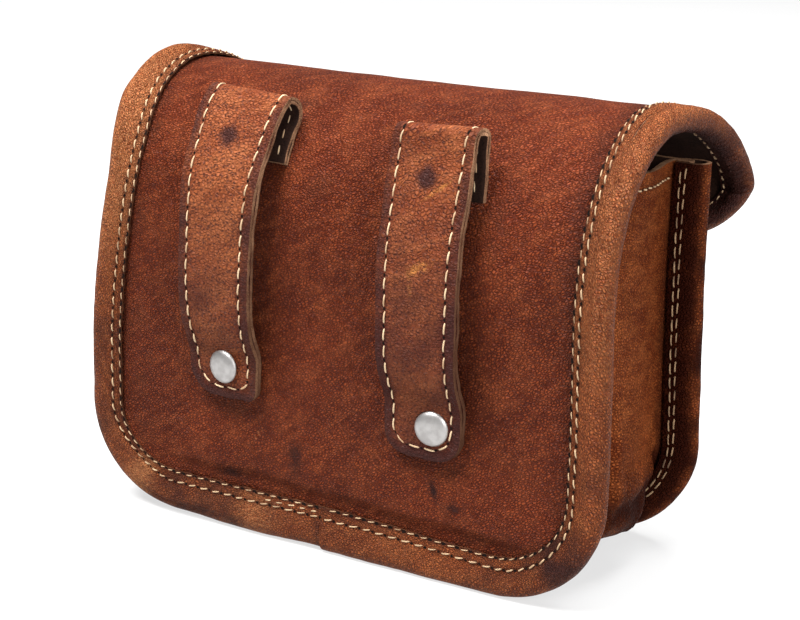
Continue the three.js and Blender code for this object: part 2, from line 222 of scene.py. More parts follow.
@dataclass
class Shell:
    """Forms flat leather to the bag: where each point of the folded panel and of the front lies.

    In the panel's side view, pairs are depths in front of the foot of the back and heights over it.
    """

    width: float = 147.0
    corner: float = 28.0
    leather: float = 1.6
    back_y: float = 35.1912
    drop: float = 0.1007
    straight: float = 68.0
    roof: tuple[float, float] = (33.0, 114.3)
    flap_front: tuple[float, float] = (77.8, 88.0)
    flap_tip: tuple[float, float] = (75.8, 65.0)
    back_up: float = 30.0
    back_in: float = 18.0
    front_out: float = 20.0
    front_up: float = 11.0
    flap_corner: float = 11.5
    belly: float = 16.5
    tuck: float = 4.0
    flare: float = 0.012
    taper: float = 0.036
    front_depth: float = 55.0
    front_top: float = 99.0
    crown: float = 12.5
    lean_left: float = 2.0
    lean_right: float = 2.0
    flap_side: float = 1.4
    front_flare: float = 0.012
    lengths: list[float] = field(init=False, default_factory=list)
    line: list[Vector] = field(init=False, default_factory=list)
    roof_end: float = field(init=False, default=0.0)

    def __post_init__(self) -> None:
        """Walks the side view of the panel and keeps the length at each point."""
        foot = Vector((0.0, 0.0, 0.0))
        bend = Vector((0.0, self.straight, 0.0))
        roof = Vector((*self.roof, 0.0))
        front = Vector((*self.flap_front, 0.0))
        tip = Vector((*self.flap_tip, 0.0))
        up = bend + Vector((0.0, self.back_up, 0.0))
        back_in = roof - Vector((self.back_in, 0.0, 0.0))
        out = roof + Vector((self.front_out, 0.0, 0.0))
        over = front + Vector((0.0, self.front_up, 0.0))
        steps = 220
        back = [foot.lerp(bend, i / steps) for i in range(steps)]
        back += interpolate_bezier(bend, up, back_in, roof, steps)[:-1]
        flap = interpolate_bezier(roof, out, over, front, steps)[:-1]
        flap += [front.lerp(tip, i / steps) for i in range(steps + 1)]
        self.line = back + flap
        self.lengths = walk(self.line)
        self.roof_end = self.lengths[len(back)]

    @property
    def length(self) -> float:
        """Length of the panel from the foot of the back to the tip of the flap."""
        return self.lengths[-1]

    def profile(self, s: float) -> tuple[Vector, Vector]:
        """Side view of the panel.

        Args:
            s: length along the panel.

        Returns:
            The depth and height there, and the direction in which the panel runs.
        """
        return on_line(self.line, self.lengths, s)

    def narrow(self, s: float) -> float:
        """Share by which the bag is narrower at a length along its panel."""
        return self.taper * smooth(38, 100, s)

    def leaned(self, x: float, y: float, z: float) -> Vector:
        """The bag leans a little to one side as it rises, its two ends not quite alike."""
        right = self.lean_right * smooth(45, 118, z)
        left = self.lean_left * smooth(45, 85, z) * (1 - 0.8 * smooth(95, 112, z))
        return Vector((x - lerp(right, left, smooth(-40, 40, x)), y, z))

    def place(self, x: float, s: float, n: float) -> Vector:
        """Where a point of the folded panel lies.

        Args:
            x: across the panel.
            s: along it, from the foot of the back.
            n: out of its outer face.

        Returns:
            The place in millimetres.
        """
        toward = smooth(self.roof_end, self.length, s)
        side = min(1.0, abs(x) / (self.width / 2))
        here, run = self.profile(s - self.belly * side * side * toward)
        width = 1 - self.narrow(s) + (self.taper + self.flare) * toward
        tuck = self.tuck * (1 - side * side) * toward
        depth = here.x - n * run.y - tuck
        spread = x * width - self.flap_side * toward * smooth(0, -60, x)
        return self.leaned(spread, self.back_y - depth, here.y + n * run.x - self.drop)

    def front(self, x: float, s: float, n: float) -> Vector:
        """Where a point of the upright front lies, with n out to the front."""
        spread = 1 - self.narrow(s) + self.front_flare * (1 + smooth(50, 20, s))
        return self.leaned(x * spread, self.back_y - self.front_depth - n, s - self.drop)

    def length_at(self, height: float) -> float:
        """Length along the panel at which its back reaches a height."""
        for index, point in enumerate(self.line):
            if point.y >= height:
                return self.lengths[index]
        return self.roof_end

    def half_width(self, s: float, low: float, high: float, foot: float, tip: float, half: float) -> float:
        """Half width of a sheet with rounded corners.

        Args:
            s: length along the sheet.
            low: where it starts.
            high: where it ends.
            foot: radius of its lower corners.
            tip: radius of its upper corners, 0 for square ones.
            half: half width between the corners.

        Returns:
            The half width at s.
        """
        for radius, into in ((foot, s - low), (tip, high - s)):
            if radius and into < radius:
                return half - radius + math.sqrt(max(0.0, radius**2 - (radius - into) ** 2))
        return half


def formed_sheet(
    name: str,
    across: int,
    along: int,
    form: Callable[[float, float], Formed],
    seed: float,
    flip: bool = False,
) -> bpy.types.Object:
    """Lays a flat grid of leather and forms it point by point.

    Args:
        name: the piece's name.
        across: faces across the sheet.
        along: faces along it.
        form: gives the formed point for shares across and along, each from 0 to 1.
        seed: third flat coordinate, so that no two sheets share their grain.
        flip: whether the formed faces have to be turned over.

    Returns:
        The linked object, with flat and paint attributes and a thickness group on its points.
    """
    bm = bmesh.new()
    bmesh.ops.create_grid(bm, x_segments=across, y_segments=along, size=0.5)
    flat_layer = bm.verts.layers.float_vector.new("flat")
    paint_layer = bm.verts.layers.float_color.new("paint")
    thick_layer = bm.verts.layers.deform.verify()
    for vert in bm.verts:
        point = form(vert.co.x + 0.5, vert.co.y + 0.5)
        vert.co = point.place * MM
        vert[flat_layer] = (*point.flat, seed)
        vert[paint_layer] = (*point.paint, 1.0)
        vert[thick_layer][0] = point.thick
    if flip:
        bmesh.ops.reverse_faces(bm, faces=bm.faces[:])
    for face in bm.faces:
        face.smooth = True
    piece = linked(name, bm)
    piece.vertex_groups.new(name=THICKNESS)
    return piece


def linked(name: str, bm: bmesh.types.BMesh) -> bpy.types.Object:
    """Turns a bmesh into an object of the scene.

    Args:
        name: name of the object and its mesh.
        bm: the shape, which is freed.

    Returns:
        The new object.
    """
    mesh = bpy.data.meshes.new(name)
    bm.to_mesh(mesh)
    bm.free()
    piece = bpy.data.objects.new(name, mesh)
    bpy.context.scene.collection.objects.link(piece)
    return piece


def thicken(piece: bpy.types.Object, thick: float, offset: float, edge: float) -> None:
    """Gives a formed sheet its thickness and softens its cut edges.

    The second material is the inner face and the third the cut edge.

    Args:
        piece: the sheet.
        thick: thickness in millimetres.
        offset: -1 to grow inwards, 0 to grow both ways.
        edge: width of the softened edge in millimetres.
    """
    wall = piece.modifiers.new("wall", "SOLIDIFY")
    wall.thickness = thick * MM
    wall.offset = offset
    wall.use_even_offset = False
    wall.vertex_group = THICKNESS
    wall.material_offset = 1
    wall.material_offset_rim = 2
    soften(piece, edge, 50)


def soften(piece: bpy.types.Object, width: float, angle: float) -> None:
    """Rounds the sharp edges of a piece.

    Args:
        piece: the piece.
        width: width of the rounding in millimetres.
        angle: least angle that counts as sharp, in degrees.
    """
    soft = piece.modifiers.new("soft_edge", "BEVEL")
    soft.width = width * MM
    soft.segments = 2
    soft.limit_method = "ANGLE"
    soft.angle_limit = math.radians(angle)


@dataclass
class Sketch:
    """Adds nodes to one material and joins them."""

    name: str
    material: bpy.types.Material = field(init=False)

    def __post_init__(self) -> None:
        """Makes the material with its shader."""
        self.material = bpy.data.materials.new(self.name)
        self.material.use_nodes = True

    @property
    def shader(self) -> bpy.types.Node:
        """The material's surface shader."""
        return self.material.node_tree.nodes["Principled BSDF"]

    def add(
        self, kind: str, feeds: dict[str | int, object] | None = None, **settings: object
    ) -> bpy.types.Node:
        """Adds a node.

        Args:
            kind: its type.
            feeds: values or sockets for its inputs.
            settings: its own properties.

        Returns:
            The node.
        """
        node = self.material.node_tree.nodes.new(kind)
        for key, value in settings.items():
            setattr(node, key, value)
        for key, value in (feeds or {}).items():
            self.feed(node.inputs[key], value)
        return node

    def feed(self, socket: Socket, value: object) -> None:
        """Joins a socket to another, or sets its value."""
        if isinstance(value, Socket):
            self.material.node_tree.links.new(value, socket)
        else:
            socket.default_value = value

    def surface(self, socket: str, value: object) -> None:
        """Feeds one socket of the shader."""
        self.feed(self.shader.inputs[socket], value)

    def attribute(self, name: str, output: str) -> Socket:
        """Reads an attribute of the piece."""
        return self.add("ShaderNodeAttribute", attribute_name=name).outputs[output]

    def paint(self) -> bpy.types.bpy_prop_collection:
        """The channels of the paint attribute."""
        return self.add("ShaderNodeSeparateColor", {"Color": self.attribute("paint", "Color")}).outputs

    def solid(self) -> Socket:
        """The piece's own coordinates in millimetres."""
        where = self.add("ShaderNodeTexCoord").outputs["Object"]
        return self.stretched(where, 0, (1 / MM, 1 / MM, 1 / MM))

    def stretched(self, where: Socket, turn: float, scale: Sequence[float]) -> Socket:
        """Turns flat coordinates by some degrees and stretches them."""
        inverse = tuple(1 / value for value in scale)
        feeds = {"Vector": where, "Rotation": (0, 0, math.radians(turn)), "Scale": inverse}
        return self.add("ShaderNodeMapping", feeds, vector_type="TEXTURE").outputs["Vector"]

    def clouds(self, where: Socket, size: float, detail: float = 3.0, rough: float = 0.55) -> Socket:
        """Soft noise from 0 to 1 with waves of a size in millimetres."""
        feeds = {"Vector": where, "Scale": 1 / size, "Detail": detail, "Roughness": rough}
        return self.add("ShaderNodeTexNoise", feeds).outputs["Fac"]

    def warped(self, where: Socket, size: float, amount: float) -> Socket:
        """Pushes coordinates about by noise, so that what reads them wanders."""
        feeds = {"Vector": where, "Scale": 1 / size, "Detail": 2.0}
        push = self.add("ShaderNodeTexNoise", feeds).outputs["Color"]
        scaled = self.add("ShaderNodeVectorMath", {0: push, "Scale": amount}, operation="SCALE")
        feeds = {0: where, 1: scaled.outputs["Vector"]}
        return self.add("ShaderNodeVectorMath", feeds, operation="ADD").outputs["Vector"]

    def pebbles(self, where: Socket, size: float) -> Socket:
        """Distance to the creases between grain pebbles of a size in millimetres."""
        feeds = {"Vector": where, "Scale": 1 / size, "Randomness": 1.0}
        return self.add("ShaderNodeTexVoronoi", feeds, feature="DISTANCE_TO_EDGE").outputs["Distance"]

    def ramp(self, value: Socket, low: float, high: float, start: float = 0.0, end: float = 1.0) -> Socket:
        """Eased change from start to end as a value goes from low to high."""
        feeds = {"Value": value, "From Min": low, "From Max": high, "To Min": start, "To Max": end}
        return self.add("ShaderNodeMapRange", feeds, interpolation_type="SMOOTHSTEP").outputs["Result"]

    def plus(self, first: object, second: object) -> Socket:
        """Adds two numbers."""
        return self.add("ShaderNodeMath", {0: first, 1: second}, operation="ADD").outputs["Value"]

    def times(self, first: object, second: object) -> Socket:
        """Multiplies two numbers."""
        return self.add("ShaderNodeMath", {0: first, 1: second}, operation="MULTIPLY").outputs["Value"]

    def blend(self, share: object, first: object, second: object, mode: str = "MIX") -> Socket:
        """Mixes two colours."""
        node = self.add("ShaderNodeMix", data_type="RGBA", blend_type=mode)
        self.feed(node.inputs["Factor"], share)
        for index, value in ((6, first), (7, second)):
            self.feed(node.inputs[index], (*value, 1.0) if isinstance(value, tuple) else value)
        return node.outputs[2]

    def bump(self, height: Socket, depth: float, strength: float = 1.0) -> None:
        """Raises the surface by a height map of a depth in millimetres."""
        feeds = {"Height": height, "Distance": depth * MM, "Strength": strength}
        self.surface("Normal", self.add("ShaderNodeBump", feeds).outputs["Normal"])


@dataclass(frozen=True)
class GrainLeather:
    """Oiled leather with a pebbled grain, coloured with dye.

    Colours are linear, sizes in millimetres. The paint attribute's channels are stains with painted shade,
    scuffs, and edge wear with painted shade.
    """

    name: str
    deep: Color
    body: Color
    light: Color
    stain_and_shade: Color
    scuff: Color
    wear_and_shade: Color
    pebble: float = 1.0
    depth: float = 0.45
    stretch: float = 1.45
    turn: float = 38.0
    mottle: float = 0.4
    creases: float = 0.7
    dots: float = 0.0
    rub: float = 0.4
    roughness: tuple[float, float] = (0.42, 0.6)
    shine: float = 0.085

    def make(self) -> bpy.types.Material:
        """Builds the finish.

        Returns:
            The material.
        """
        sketch = Sketch(self.name)
        flat = sketch.attribute("flat", "Vector")
        broad = sketch.clouds(flat, 34, 3)
        patch = sketch.clouds(flat, 8, 5, 0.62)
        fine = sketch.clouds(flat, 0.85, 3)
        streak = sketch.clouds(sketch.stretched(flat, self.turn, (0.3, 1.0, 1.0)), 2.4, 4)
        grain_at = sketch.stretched(sketch.warped(flat, 2.6, 0.9), self.turn, (1.0, self.stretch, 1.0))
        crease = sketch.pebbles(grain_at, self.pebble)
        color = sketch.blend(sketch.ramp(broad, 0.32, 0.66), self.deep, self.body)
        color = self.shaded(sketch, color, sketch.ramp(patch, 0.44, 0.72), self.mottle, self.light)
        color = self.shaded(sketch, color, sketch.ramp(patch, 0.5, 0.28), self.mottle * 0.7, self.deep)
        color = self.shaded(sketch, color, sketch.ramp(streak, 0.46, 0.72), 0.45, self.light)
        color = self.shaded(sketch, color, sketch.ramp(streak, 0.5, 0.3), 0.5, self.deep)
        color = self.shaded(sketch, color, sketch.ramp(crease, 0.1, 0.4), self.rub, self.light)
        # Painted shade: the creases between the pebbles are darkened.
        crease_shade = sketch.times(sketch.ramp(crease, 0.24, 0.0), sketch.ramp(fine, 0.25, 0.55))
        color = self.shaded(sketch, color, crease_shade, self.creases, self.wear_and_shade)
        if self.dots:
            near = {"Vector": grain_at, "Scale": 1 / (self.pebble * 1.05), "Randomness": 0.8}
            pore = sketch.add("ShaderNodeTexVoronoi", near).outputs["Distance"]
            pored = sketch.times(sketch.ramp(pore, 0.52, 0.2), sketch.ramp(patch, 0.24, 0.5, 0.45, 1.0))
            color = self.shaded(sketch, color, pored, self.dots, self.wear_and_shade)
        color = self.painted(sketch, color, patch, fine)
        sketch.surface("Base Color", color)
        gloss = sketch.plus(sketch.times(patch, 0.7), sketch.times(fine, 0.5))
        sketch.surface("Roughness", sketch.ramp(gloss, 0.4, 0.8, *self.roughness))
        sketch.surface("Specular IOR Level", self.shine)
        height = sketch.plus(sketch.ramp(crease, 0.0, 0.3), sketch.times(fine, 0.6))
        height = sketch.plus(height, sketch.times(streak, 2.0))
        sketch.bump(height, self.depth)
        return sketch.material

    @staticmethod
    def shaded(sketch: Sketch, color: Socket, where: Socket, amount: float, tint: Color) -> Socket:
        """Tints a colour by a share of a mask."""
        return sketch.blend(sketch.times(where, amount), color, tint)

    def painted(self, sketch: Sketch, color: Socket, patch: Socket, fine: Socket) -> Socket:
        """Adds stains with painted shade, scuffs, and edge wear with painted shade, where the paint attribute
        has them.

        Args:
            sketch: the material's nodes.
            color: the leather's own colour.
            patch: broad noise that breaks up the marks.
            fine: fine noise that breaks up the scuffs.

        Returns:
            The marked colour.
        """
        paint = sketch.paint()
        # First channel: stains and painted shade. Third channel, below: edge wear and painted shade.
        color = sketch.blend(self.broken(sketch, paint["Red"], patch), color, self.stain_and_shade)
        cover = sketch.plus(sketch.times(fine, 0.8), sketch.times(paint["Green"], 0.6))
        rubbed = sketch.times(sketch.ramp(cover, 0.46, 0.92), sketch.ramp(paint["Green"], 0.02, 0.5))
        color = sketch.blend(rubbed, color, self.scuff)
        return sketch.blend(self.broken(sketch, paint["Blue"], patch), color, self.wear_and_shade)

    @staticmethod
    def broken(sketch: Sketch, amount: Socket, patch: Socket) -> Socket:
        """Breaks a faint mark up in patches and leaves a strong one whole."""
        lifted = sketch.plus(amount, sketch.times(patch, 1.1))
        return sketch.times(sketch.ramp(lifted, 0.5, 1.45), sketch.ramp(amount, 0.0, 0.12))


@dataclass(frozen=True)
class RawLeather:
    """Bare leather: a fibrous cut edge or the napped inner face."""

    name: str
    dark: Color
    pale: Color
    fibre: float = 0.5
    soil_and_shade: float = 0.0

    def make(self) -> bpy.types.Material:
        """Builds the finish.

        Returns:
            The material.
        """
        sketch = Sketch(self.name)
        scaled = sketch.solid()
        fibre = sketch.clouds(scaled, self.fibre, 4, 0.7)
        patch = sketch.clouds(scaled, 5.0, 3)
        nap = sketch.ramp(fibre, 0.35, 0.65, 0.0, 0.6)
        share = sketch.plus(nap, sketch.ramp(patch, 0.35, 0.65, 0.0, 0.4))
        color = sketch.blend(share, self.dark, self.pale)
        # Darkens the cut edge where the paint's first channel has stains and painted shade.
        if self.soil_and_shade:
            soiled = sketch.ramp(sketch.paint()["Red"], 0.3, 0.75, 0.0, self.soil_and_shade)
            color = sketch.blend(soiled, color, self.dark)
        sketch.surface("Base Color", color)
        sketch.surface("Roughness", 0.85)
        sketch.surface("Specular IOR Level", 0.08)
        sketch.bump(fibre, 0.12)
        return sketch.material


@dataclass(frozen=True)
class WaxedThread:
    """Waxed linen thread, soiled here and there."""

    name: str
    clean: Color
    soiled: Color

    def make(self) -> bpy.types.Material:
        """Builds the finish.

        Returns:
            The material.
        """
        sketch = Sketch(self.name)
        scaled = sketch.solid()
        dirt = sketch.clouds(scaled, 6.0, 3)
        twist = sketch.clouds(scaled, 0.32, 2)
        color = sketch.blend(sketch.ramp(dirt, 0.42, 0.68), self.clean, self.soiled)
        color = sketch.blend(sketch.ramp(twist, 0.5, 0.3, 0.0, 0.5), color, self.soiled)
        sketch.surface("Base Color", color)
        sketch.surface("Roughness", 0.7)
        sketch.bump(twist, 0.1)
        return sketch.material


@dataclass(frozen=True)
class SatinNickel:
    """Satin nickel plate with fine polishing marks."""

    name: str
    plate: Color
    dull: Color

    def make(self) -> bpy.types.Material:
        """Builds the finish.

        Returns:
            The material.
        """
        sketch = Sketch(self.name)
        scaled = sketch.solid()
        cloud = sketch.clouds(scaled, 2.0, 4)
        sketch.surface("Metallic", 1.0)
        color = sketch.blend(sketch.ramp(cloud, 0.35, 0.7), self.plate, self.dull)
        sketch.surface("Base Color", color)
        sketch.surface("Roughness", sketch.ramp(cloud, 0.3, 0.7, 0.42, 0.52))
        return sketch.material


# Painted shade: each needle hole is a shallow dark disc whose colour stands for the shade inside the hole.
@dataclass(frozen=True)
class DarkHole:
    """The dark inside of a needle hole."""

    name: str
    shade: Color
    rim: Color

    def make(self) -> bpy.types.Material:
        """Builds the finish.

        Returns:
            The material.
        """
        sketch = Sketch(self.name)
        scaled = sketch.solid()
        share = sketch.ramp(sketch.clouds(scaled, 0.5, 2), 0.45, 0.75)
        sketch.surface("Base Color", sketch.blend(share, self.shade, self.rim))
        sketch.surface("Roughness", 0.95)
        sketch.surface("Specular IOR Level", 0.1)
        return sketch.material


@dataclass
class Finishes:
    """Every finish of the bag, made once."""

    panel: bpy.types.Material = field(init=False)
    binding: bpy.types.Material = field(init=False)
    gusset: bpy.types.Material = field(init=False)
    strap: bpy.types.Material = field(init=False)
    inside: bpy.types.Material = field(init=False)
    raw: bpy.types.Material = field(init=False)
    edge: bpy.types.Material = field(init=False)
    thread: bpy.types.Material = field(init=False)
    cream: bpy.types.Material = field(init=False)
    grimy: bpy.types.Material = field(init=False)
    hole: bpy.types.Material = field(init=False)
    nickel: bpy.types.Material = field(init=False)

    def __post_init__(self) -> None:
        """Makes the materials."""
        self.panel = GrainLeather(
            "panel_leather",
            deep=(0.082, 0.0118, 0.0034),
            body=(0.142, 0.022, 0.006),
            light=(0.262, 0.061, 0.0192),
            stain_and_shade=(0.016, 0.005, 0.0045),
            scuff=(0.36, 0.12, 0.045),
            wear_and_shade=(0.024, 0.0055, 0.0032),
            pebble=0.96,
            stretch=1.9,
            turn=-36,
            mottle=0.52,
            creases=0.64,
            rub=0.42,
        ).make()
        self.binding = GrainLeather(
            "binding_leather",
            deep=(0.12, 0.023, 0.0065),
            body=(0.24, 0.057, 0.0155),
            light=(0.37, 0.115, 0.036),
            stain_and_shade=(0.035, 0.0105, 0.008),
            scuff=(0.4, 0.158, 0.06),
            wear_and_shade=(0.05, 0.013, 0.006),
            pebble=0.8,
            stretch=1.2,
            creases=0.54,
            dots=0.62,
        ).make()
        self.gusset = GrainLeather(
            "gusset_leather",
            deep=(0.14, 0.024, 0.006),
            body=(0.315, 0.072, 0.018),
            light=(0.45, 0.13, 0.036),
            stain_and_shade=(0.026, 0.005, 0.0022),
            scuff=(0.5, 0.3, 0.15),
            wear_and_shade=(0.04, 0.009, 0.0045),
            pebble=0.85,
            stretch=1.3,
            turn=80,
            dots=0.5,
            shine=0.015,
        ).make()
        self.strap = GrainLeather(
            "strap_leather",
            deep=(0.145, 0.03, 0.0098),
            body=(0.25, 0.066, 0.0215),
            light=(0.37, 0.118, 0.042),
            stain_and_shade=(0.05, 0.0098, 0.0066),
            scuff=(0.47, 0.185, 0.045),
            wear_and_shade=(0.039, 0.0118, 0.0092),
            pebble=0.95,
            depth=0.34,
            stretch=1.25,
            turn=20,
            mottle=0.5,
            creases=0.24,
            dots=0.72,
            rub=0.3,
        ).make()
        # Painted shade: the inner face is kept near black for the shade inside the bag and under the flap.
        self.inside = RawLeather(
            "leather_inner_face",
            dark=(0.008, 0.0035, 0.0025),
            pale=(0.028, 0.012, 0.0075),
        ).make()
        self.raw = RawLeather(
            "leather_cut_edge",
            dark=(0.055, 0.019, 0.01),
            pale=(0.4, 0.22, 0.122),
            fibre=0.35,
            soil_and_shade=0.8,
        ).make()
        self.edge = RawLeather(
            "dyed_cut_edge",
            dark=(0.02, 0.007, 0.004),
            pale=(0.11, 0.042, 0.018),
        ).make()
        self.thread = WaxedThread(
            "soiled_thread",
            clean=(0.46, 0.31, 0.175),
            soiled=(0.22, 0.12, 0.058),
        ).make()
        self.cream = WaxedThread(
            "waxed_thread",
            clean=(0.6, 0.43, 0.26),
            soiled=(0.36, 0.21, 0.11),
        ).make()
        self.grimy = WaxedThread(
            "grimy_thread",
            clean=(0.32, 0.2, 0.105),
            soiled=(0.11, 0.055, 0.027),
        ).make()
        self.hole = DarkHole(
            "needle_hole",
            shade=(0.004, 0.0025, 0.002),
            rim=(0.012, 0.006, 0.004),
        ).make()
        self.nickel = SatinNickel(
            "satin_nickel",
            plate=(0.44, 0.425, 0.415),
            dull=(0.36, 0.345, 0.335),
        ).make()


def dress(piece: bpy.types.Object, slot: Slot, *finishes: bpy.types.Material) -> bpy.types.Object:
    """Gives a piece its finishes and fixes it to the bag.

    Args:
        piece: the finished object.
        slot: not used.
        finishes: materials in slot order.

    Returns:
        The same piece.
    """
    for finish in finishes:
        piece.data.materials.append(finish)
    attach(piece, BODY)
    LOG.info("%s: %d faces", piece.name, len(piece.data.polygons))
    return piece


@dataclass(frozen=True)
class Station:
    """A place on an edge line, with the direction out of the leather in the flat cut."""

    x: float
    s: float
    nx: float
    ns: float

    @property
    def foot(self) -> float:
        """1 where the edge faces down, 0 where it faces aside or up."""
        return self.ns**2 if self.ns < 0 else 0.0


@dataclass
class EdgeLine:
    """The line along which an edge is bound, walked by its length."""

    stations: list[Station] = field(default_factory=list)
    lengths: list[float] = field(default_factory=list)
    step: float = 0.8

    def push(self, station: Station) -> None:
        """Adds a station."""
        walked = 0.0
        if self.stations:
            last = self.stations[-1]
            walked = self.lengths[-1] + math.hypot(station.x - last.x, station.s - last.s)
        self.stations.append(station)
        self.lengths.append(walked)

    def straight(self, x: float, s: float, to_x: float, to_s: float, nx: float, ns: float) -> None:
        """Adds a straight run from one flat place to another."""
        count = max(1, round(math.hypot(to_x - x, to_s - s) / self.step))
        for i in range(count):
            self.push(Station(lerp(x, to_x, i / count), lerp(s, to_s, i / count), nx, ns))

    def arc(self, x: float, s: float, radius: float, start: float, end: float) -> None:
        """Adds a round corner, with its angles in degrees."""
        count = max(1, round(abs(math.radians(end - start)) * radius / self.step))
        for i in range(count):
            angle = math.radians(lerp(start, end, i / count))
            nx, ns = math.cos(angle), math.sin(angle)
            self.push(Station(x + radius * nx, s + radius * ns, nx, ns))

    @property
    def length(self) -> float:
        """Length of the whole line."""
        return self.lengths[-1]

    def at(self, t: float) -> Station:
        """The station at a length along the line, past its ends in a straight way."""
        index = min(len(self.stations) - 2, max(0, bisect_right(self.lengths, t) - 1))
        first, second = self.stations[index], self.stations[index + 1]
        share = (t - self.lengths[index]) / max(TINY, self.lengths[index + 1] - self.lengths[index])
        nx, ns = lerp(first.nx, second.nx, share), lerp(first.ns, second.ns, share)
        size = math.hypot(nx, ns)
        return Station(lerp(first.x, second.x, share), lerp(first.s, second.s, share), nx / size, ns / size)


@dataclass
class BoundEdge:
    """A strip of leather rolled round an edge, sewn through its two lips.

    Lengths along the strip are t, across it a, measured out from the middle of its bead, and n is out of the
    outer face of what it binds. The bead is wrapped as far as bead_wrap degrees to both sides.
    """

    line: EdgeLine
    place: Callable[[float, float, float], Vector]
    flap: Callable[[float], float]
    proud: Callable[[float, float], float]
    creep: Callable[[Station], tuple[float, float]]
    spots: Sequence[Spot] = ()
    rubs: Sequence[Spot] = ()
    thick: float = 1.25
    bead_back: float = BEAD_BACK
    bead_flap: float = BEAD_FLAP
    bead_mean: float = 3.3
    bead_wrap: float = 96.0
    stack: float = 3.5
    stack_flap: float = 1.6
    sink_flap: float = 1.3
    lip_side: float = 5.7
    lip_foot: float = 7.2
    inner_lip: float = 4.8
    lip_stop: float = 0.35
    lip_top: float = 1.3
    lip_edge: float = 0.5
    row_side: float = 3.6
    row_foot: float = 4.0
    pitch: float = 3.7
    lap_under: float = 1.35
    lap_over: float = 0.7
    lap_reach: float = 24.0
    mesh_step: float = 0.8
    seed: float = 0.0
    joint: bool = False
    flip: bool = True

    @property
    def flat_width(self) -> float:
        """Width of the strip before it is rolled."""
        return self.lip_side + math.pi * self.bead_mean + self.inner_lip

    def lip(self, station: Station) -> float:
        """Width of the outer lip from the middle of the bead."""
        return lerp(self.lip_side, self.lip_foot, station.foot) + self.creep(station)[1]

    def row(self, station: Station) -> float:
        """Where the outer row of thread runs."""
        return -lerp(self.row_side, self.row_foot, station.foot) - self.creep(station)[0]

    def bead(self, station: Station) -> tuple[float, float, float]:
        """Radius of the bead, height of its middle and thickness of what it holds."""
        flap = self.flap(station.s)
        stack = lerp(self.stack, self.stack_flap, flap)
        middle = -stack / 2 - self.sink_flap * flap + self.proud(station.x, station.s)
        return lerp(self.bead_back, self.bead_flap, flap), middle, stack

    def thinning(self, t: float) -> float:
        """How far the strip lies below its usual face where its two ends lap over each other."""
        if not self.joint:
            return 0.0
        under = self.lap_under * smooth(1.0, -1.0, t)
        over = lerp(self.lap_over, 0.0, smooth(0.0, self.lap_reach, t))
        return under + over * smooth(-1.0, 1.0, t)

    def slim(self, station: Station) -> float:
        """How much smaller the bead is towards one foot corner, where it has been pressed."""
        return 0.95 * hump(station.x - 46, 17) * station.foot if self.joint else 0.0

    def lip_face(self, t: float, station: Station, a: float) -> float:
        """Height of the outer lip's face, thin at its raw edge and rising to the bead."""
        radius, middle, _ = self.bead(station)
        thin = self.thinning(t)
        along = max(0.0, (a + self.lip(station)) / (self.lip(station) - self.lip_stop))
        flat = lerp(self.lip_edge, self.lip_top - thin * 0.5, smooth(-0.05, 0.4, along))
        return lerp(flat, middle + radius - thin - 0.02, smooth(0.4, 1.0, along))

    def section(self, t: float, station: Station, share: float) -> tuple[float, float]:
        """Section of the strip's outer face.

        Args:
            t: length along the strip.
            station: the place there.
            share: from 0 at its outer raw edge to 1 at its inner one.

        Returns:
            The distances a and n.
        """
        radius, middle, stack = self.bead(station)
        ragged = 0.22 * waver(t, 0, 5.0, self.seed + 3) + 0.12 * waver(t, 0, 1.7, self.seed + 4)
        lip = self.lip(station) + ragged
        radius -= self.thinning(t) + self.slim(station)
        radius += 0.16 * waver(t, share * 9, 9.0, self.seed) + 0.07 * waver(t, share * 14, 3.0, self.seed)
        lip_end, bead_end = 0.42, 0.84
        if share < lip_end:
            a = lerp(-lip, -self.lip_stop, share / lip_end)
            return a, self.lip_face(t, station, a) - self.groove(t, station, a)
        if share < bead_end:
            wrapped = (share - lip_end) / (bead_end - lip_end)
            angle = math.radians(lerp(self.bead_wrap, -self.bead_wrap, wrapped))
            return radius * math.cos(angle), middle + radius * math.sin(angle)
        along = (share - bead_end) / (1 - bead_end)
        last = math.radians(self.bead_wrap)
        a = lerp(radius * math.cos(last), -self.inner_lip, along)
        low = middle - radius * math.sin(last)
        return a, lerp(low, -stack - self.lip_top, smooth(0.0, 0.8, along))

    @staticmethod
    def skived(share: float) -> float:
        """Share of its thickness that the strip keeps towards its outer raw edge."""
        return lerp(0.34, 1.0, smooth(0.0, 0.2, share))

    def groove(self, t: float, station: Station, a: float) -> float:
        """How deep the thread has drawn the outer lip in."""
        pull = 0.5 + 0.5 * math.cos(2 * math.pi * t / self.pitch)
        main = (0.22 + 0.24 * pull) * hump(a - self.row(station), 0.65)
        return main + (0.1 + 0.25 * pull) * hump(a + self.lip(station) - 0.5, 0.7)

    def point(self, t: float, a: float, n: float) -> Vector:
        """Where a point beside the strip lies, kept above the floor."""
        station = self.line.at(t)
        at = self.place(station.x + a * station.nx, station.s + a * station.ns, n)
        at.z = max(0.0, at.z)
        return at

    def outer_row(self, inward: float) -> Callable[[float, float, float], Vector]:
        """A row on the outer lip, some way further in than the usual one."""

        def point(t: float, side: float, up: float) -> Vector:
            station = self.line.at(t)
            a = self.row(station) - inward
            return self.point(t, a + side, self.lip_face(t, station, a) - 0.22 + up)

        return point

    def edge_row(self) -> Callable[[float, float, float], Vector]:
        """The row that holds the outer lip's raw edge down."""

        def point(t: float, side: float, up: float) -> Vector:
            station = self.line.at(t)
            a = -self.lip(station) + 0.45
            return self.point(t, a + side, self.lip_face(t, station, a) - 0.12 + up)

        return point

    def inner_row(self, offset: float) -> Callable[[float, float, float], Vector]:
        """A row on the inner lip, some way in from the bead."""

        def point(t: float, side: float, up: float) -> Vector:
            stack = self.bead(self.line.at(t))[2]
            return self.point(t, -offset - side, -stack - self.lip_top - up + 0.02)

        return point

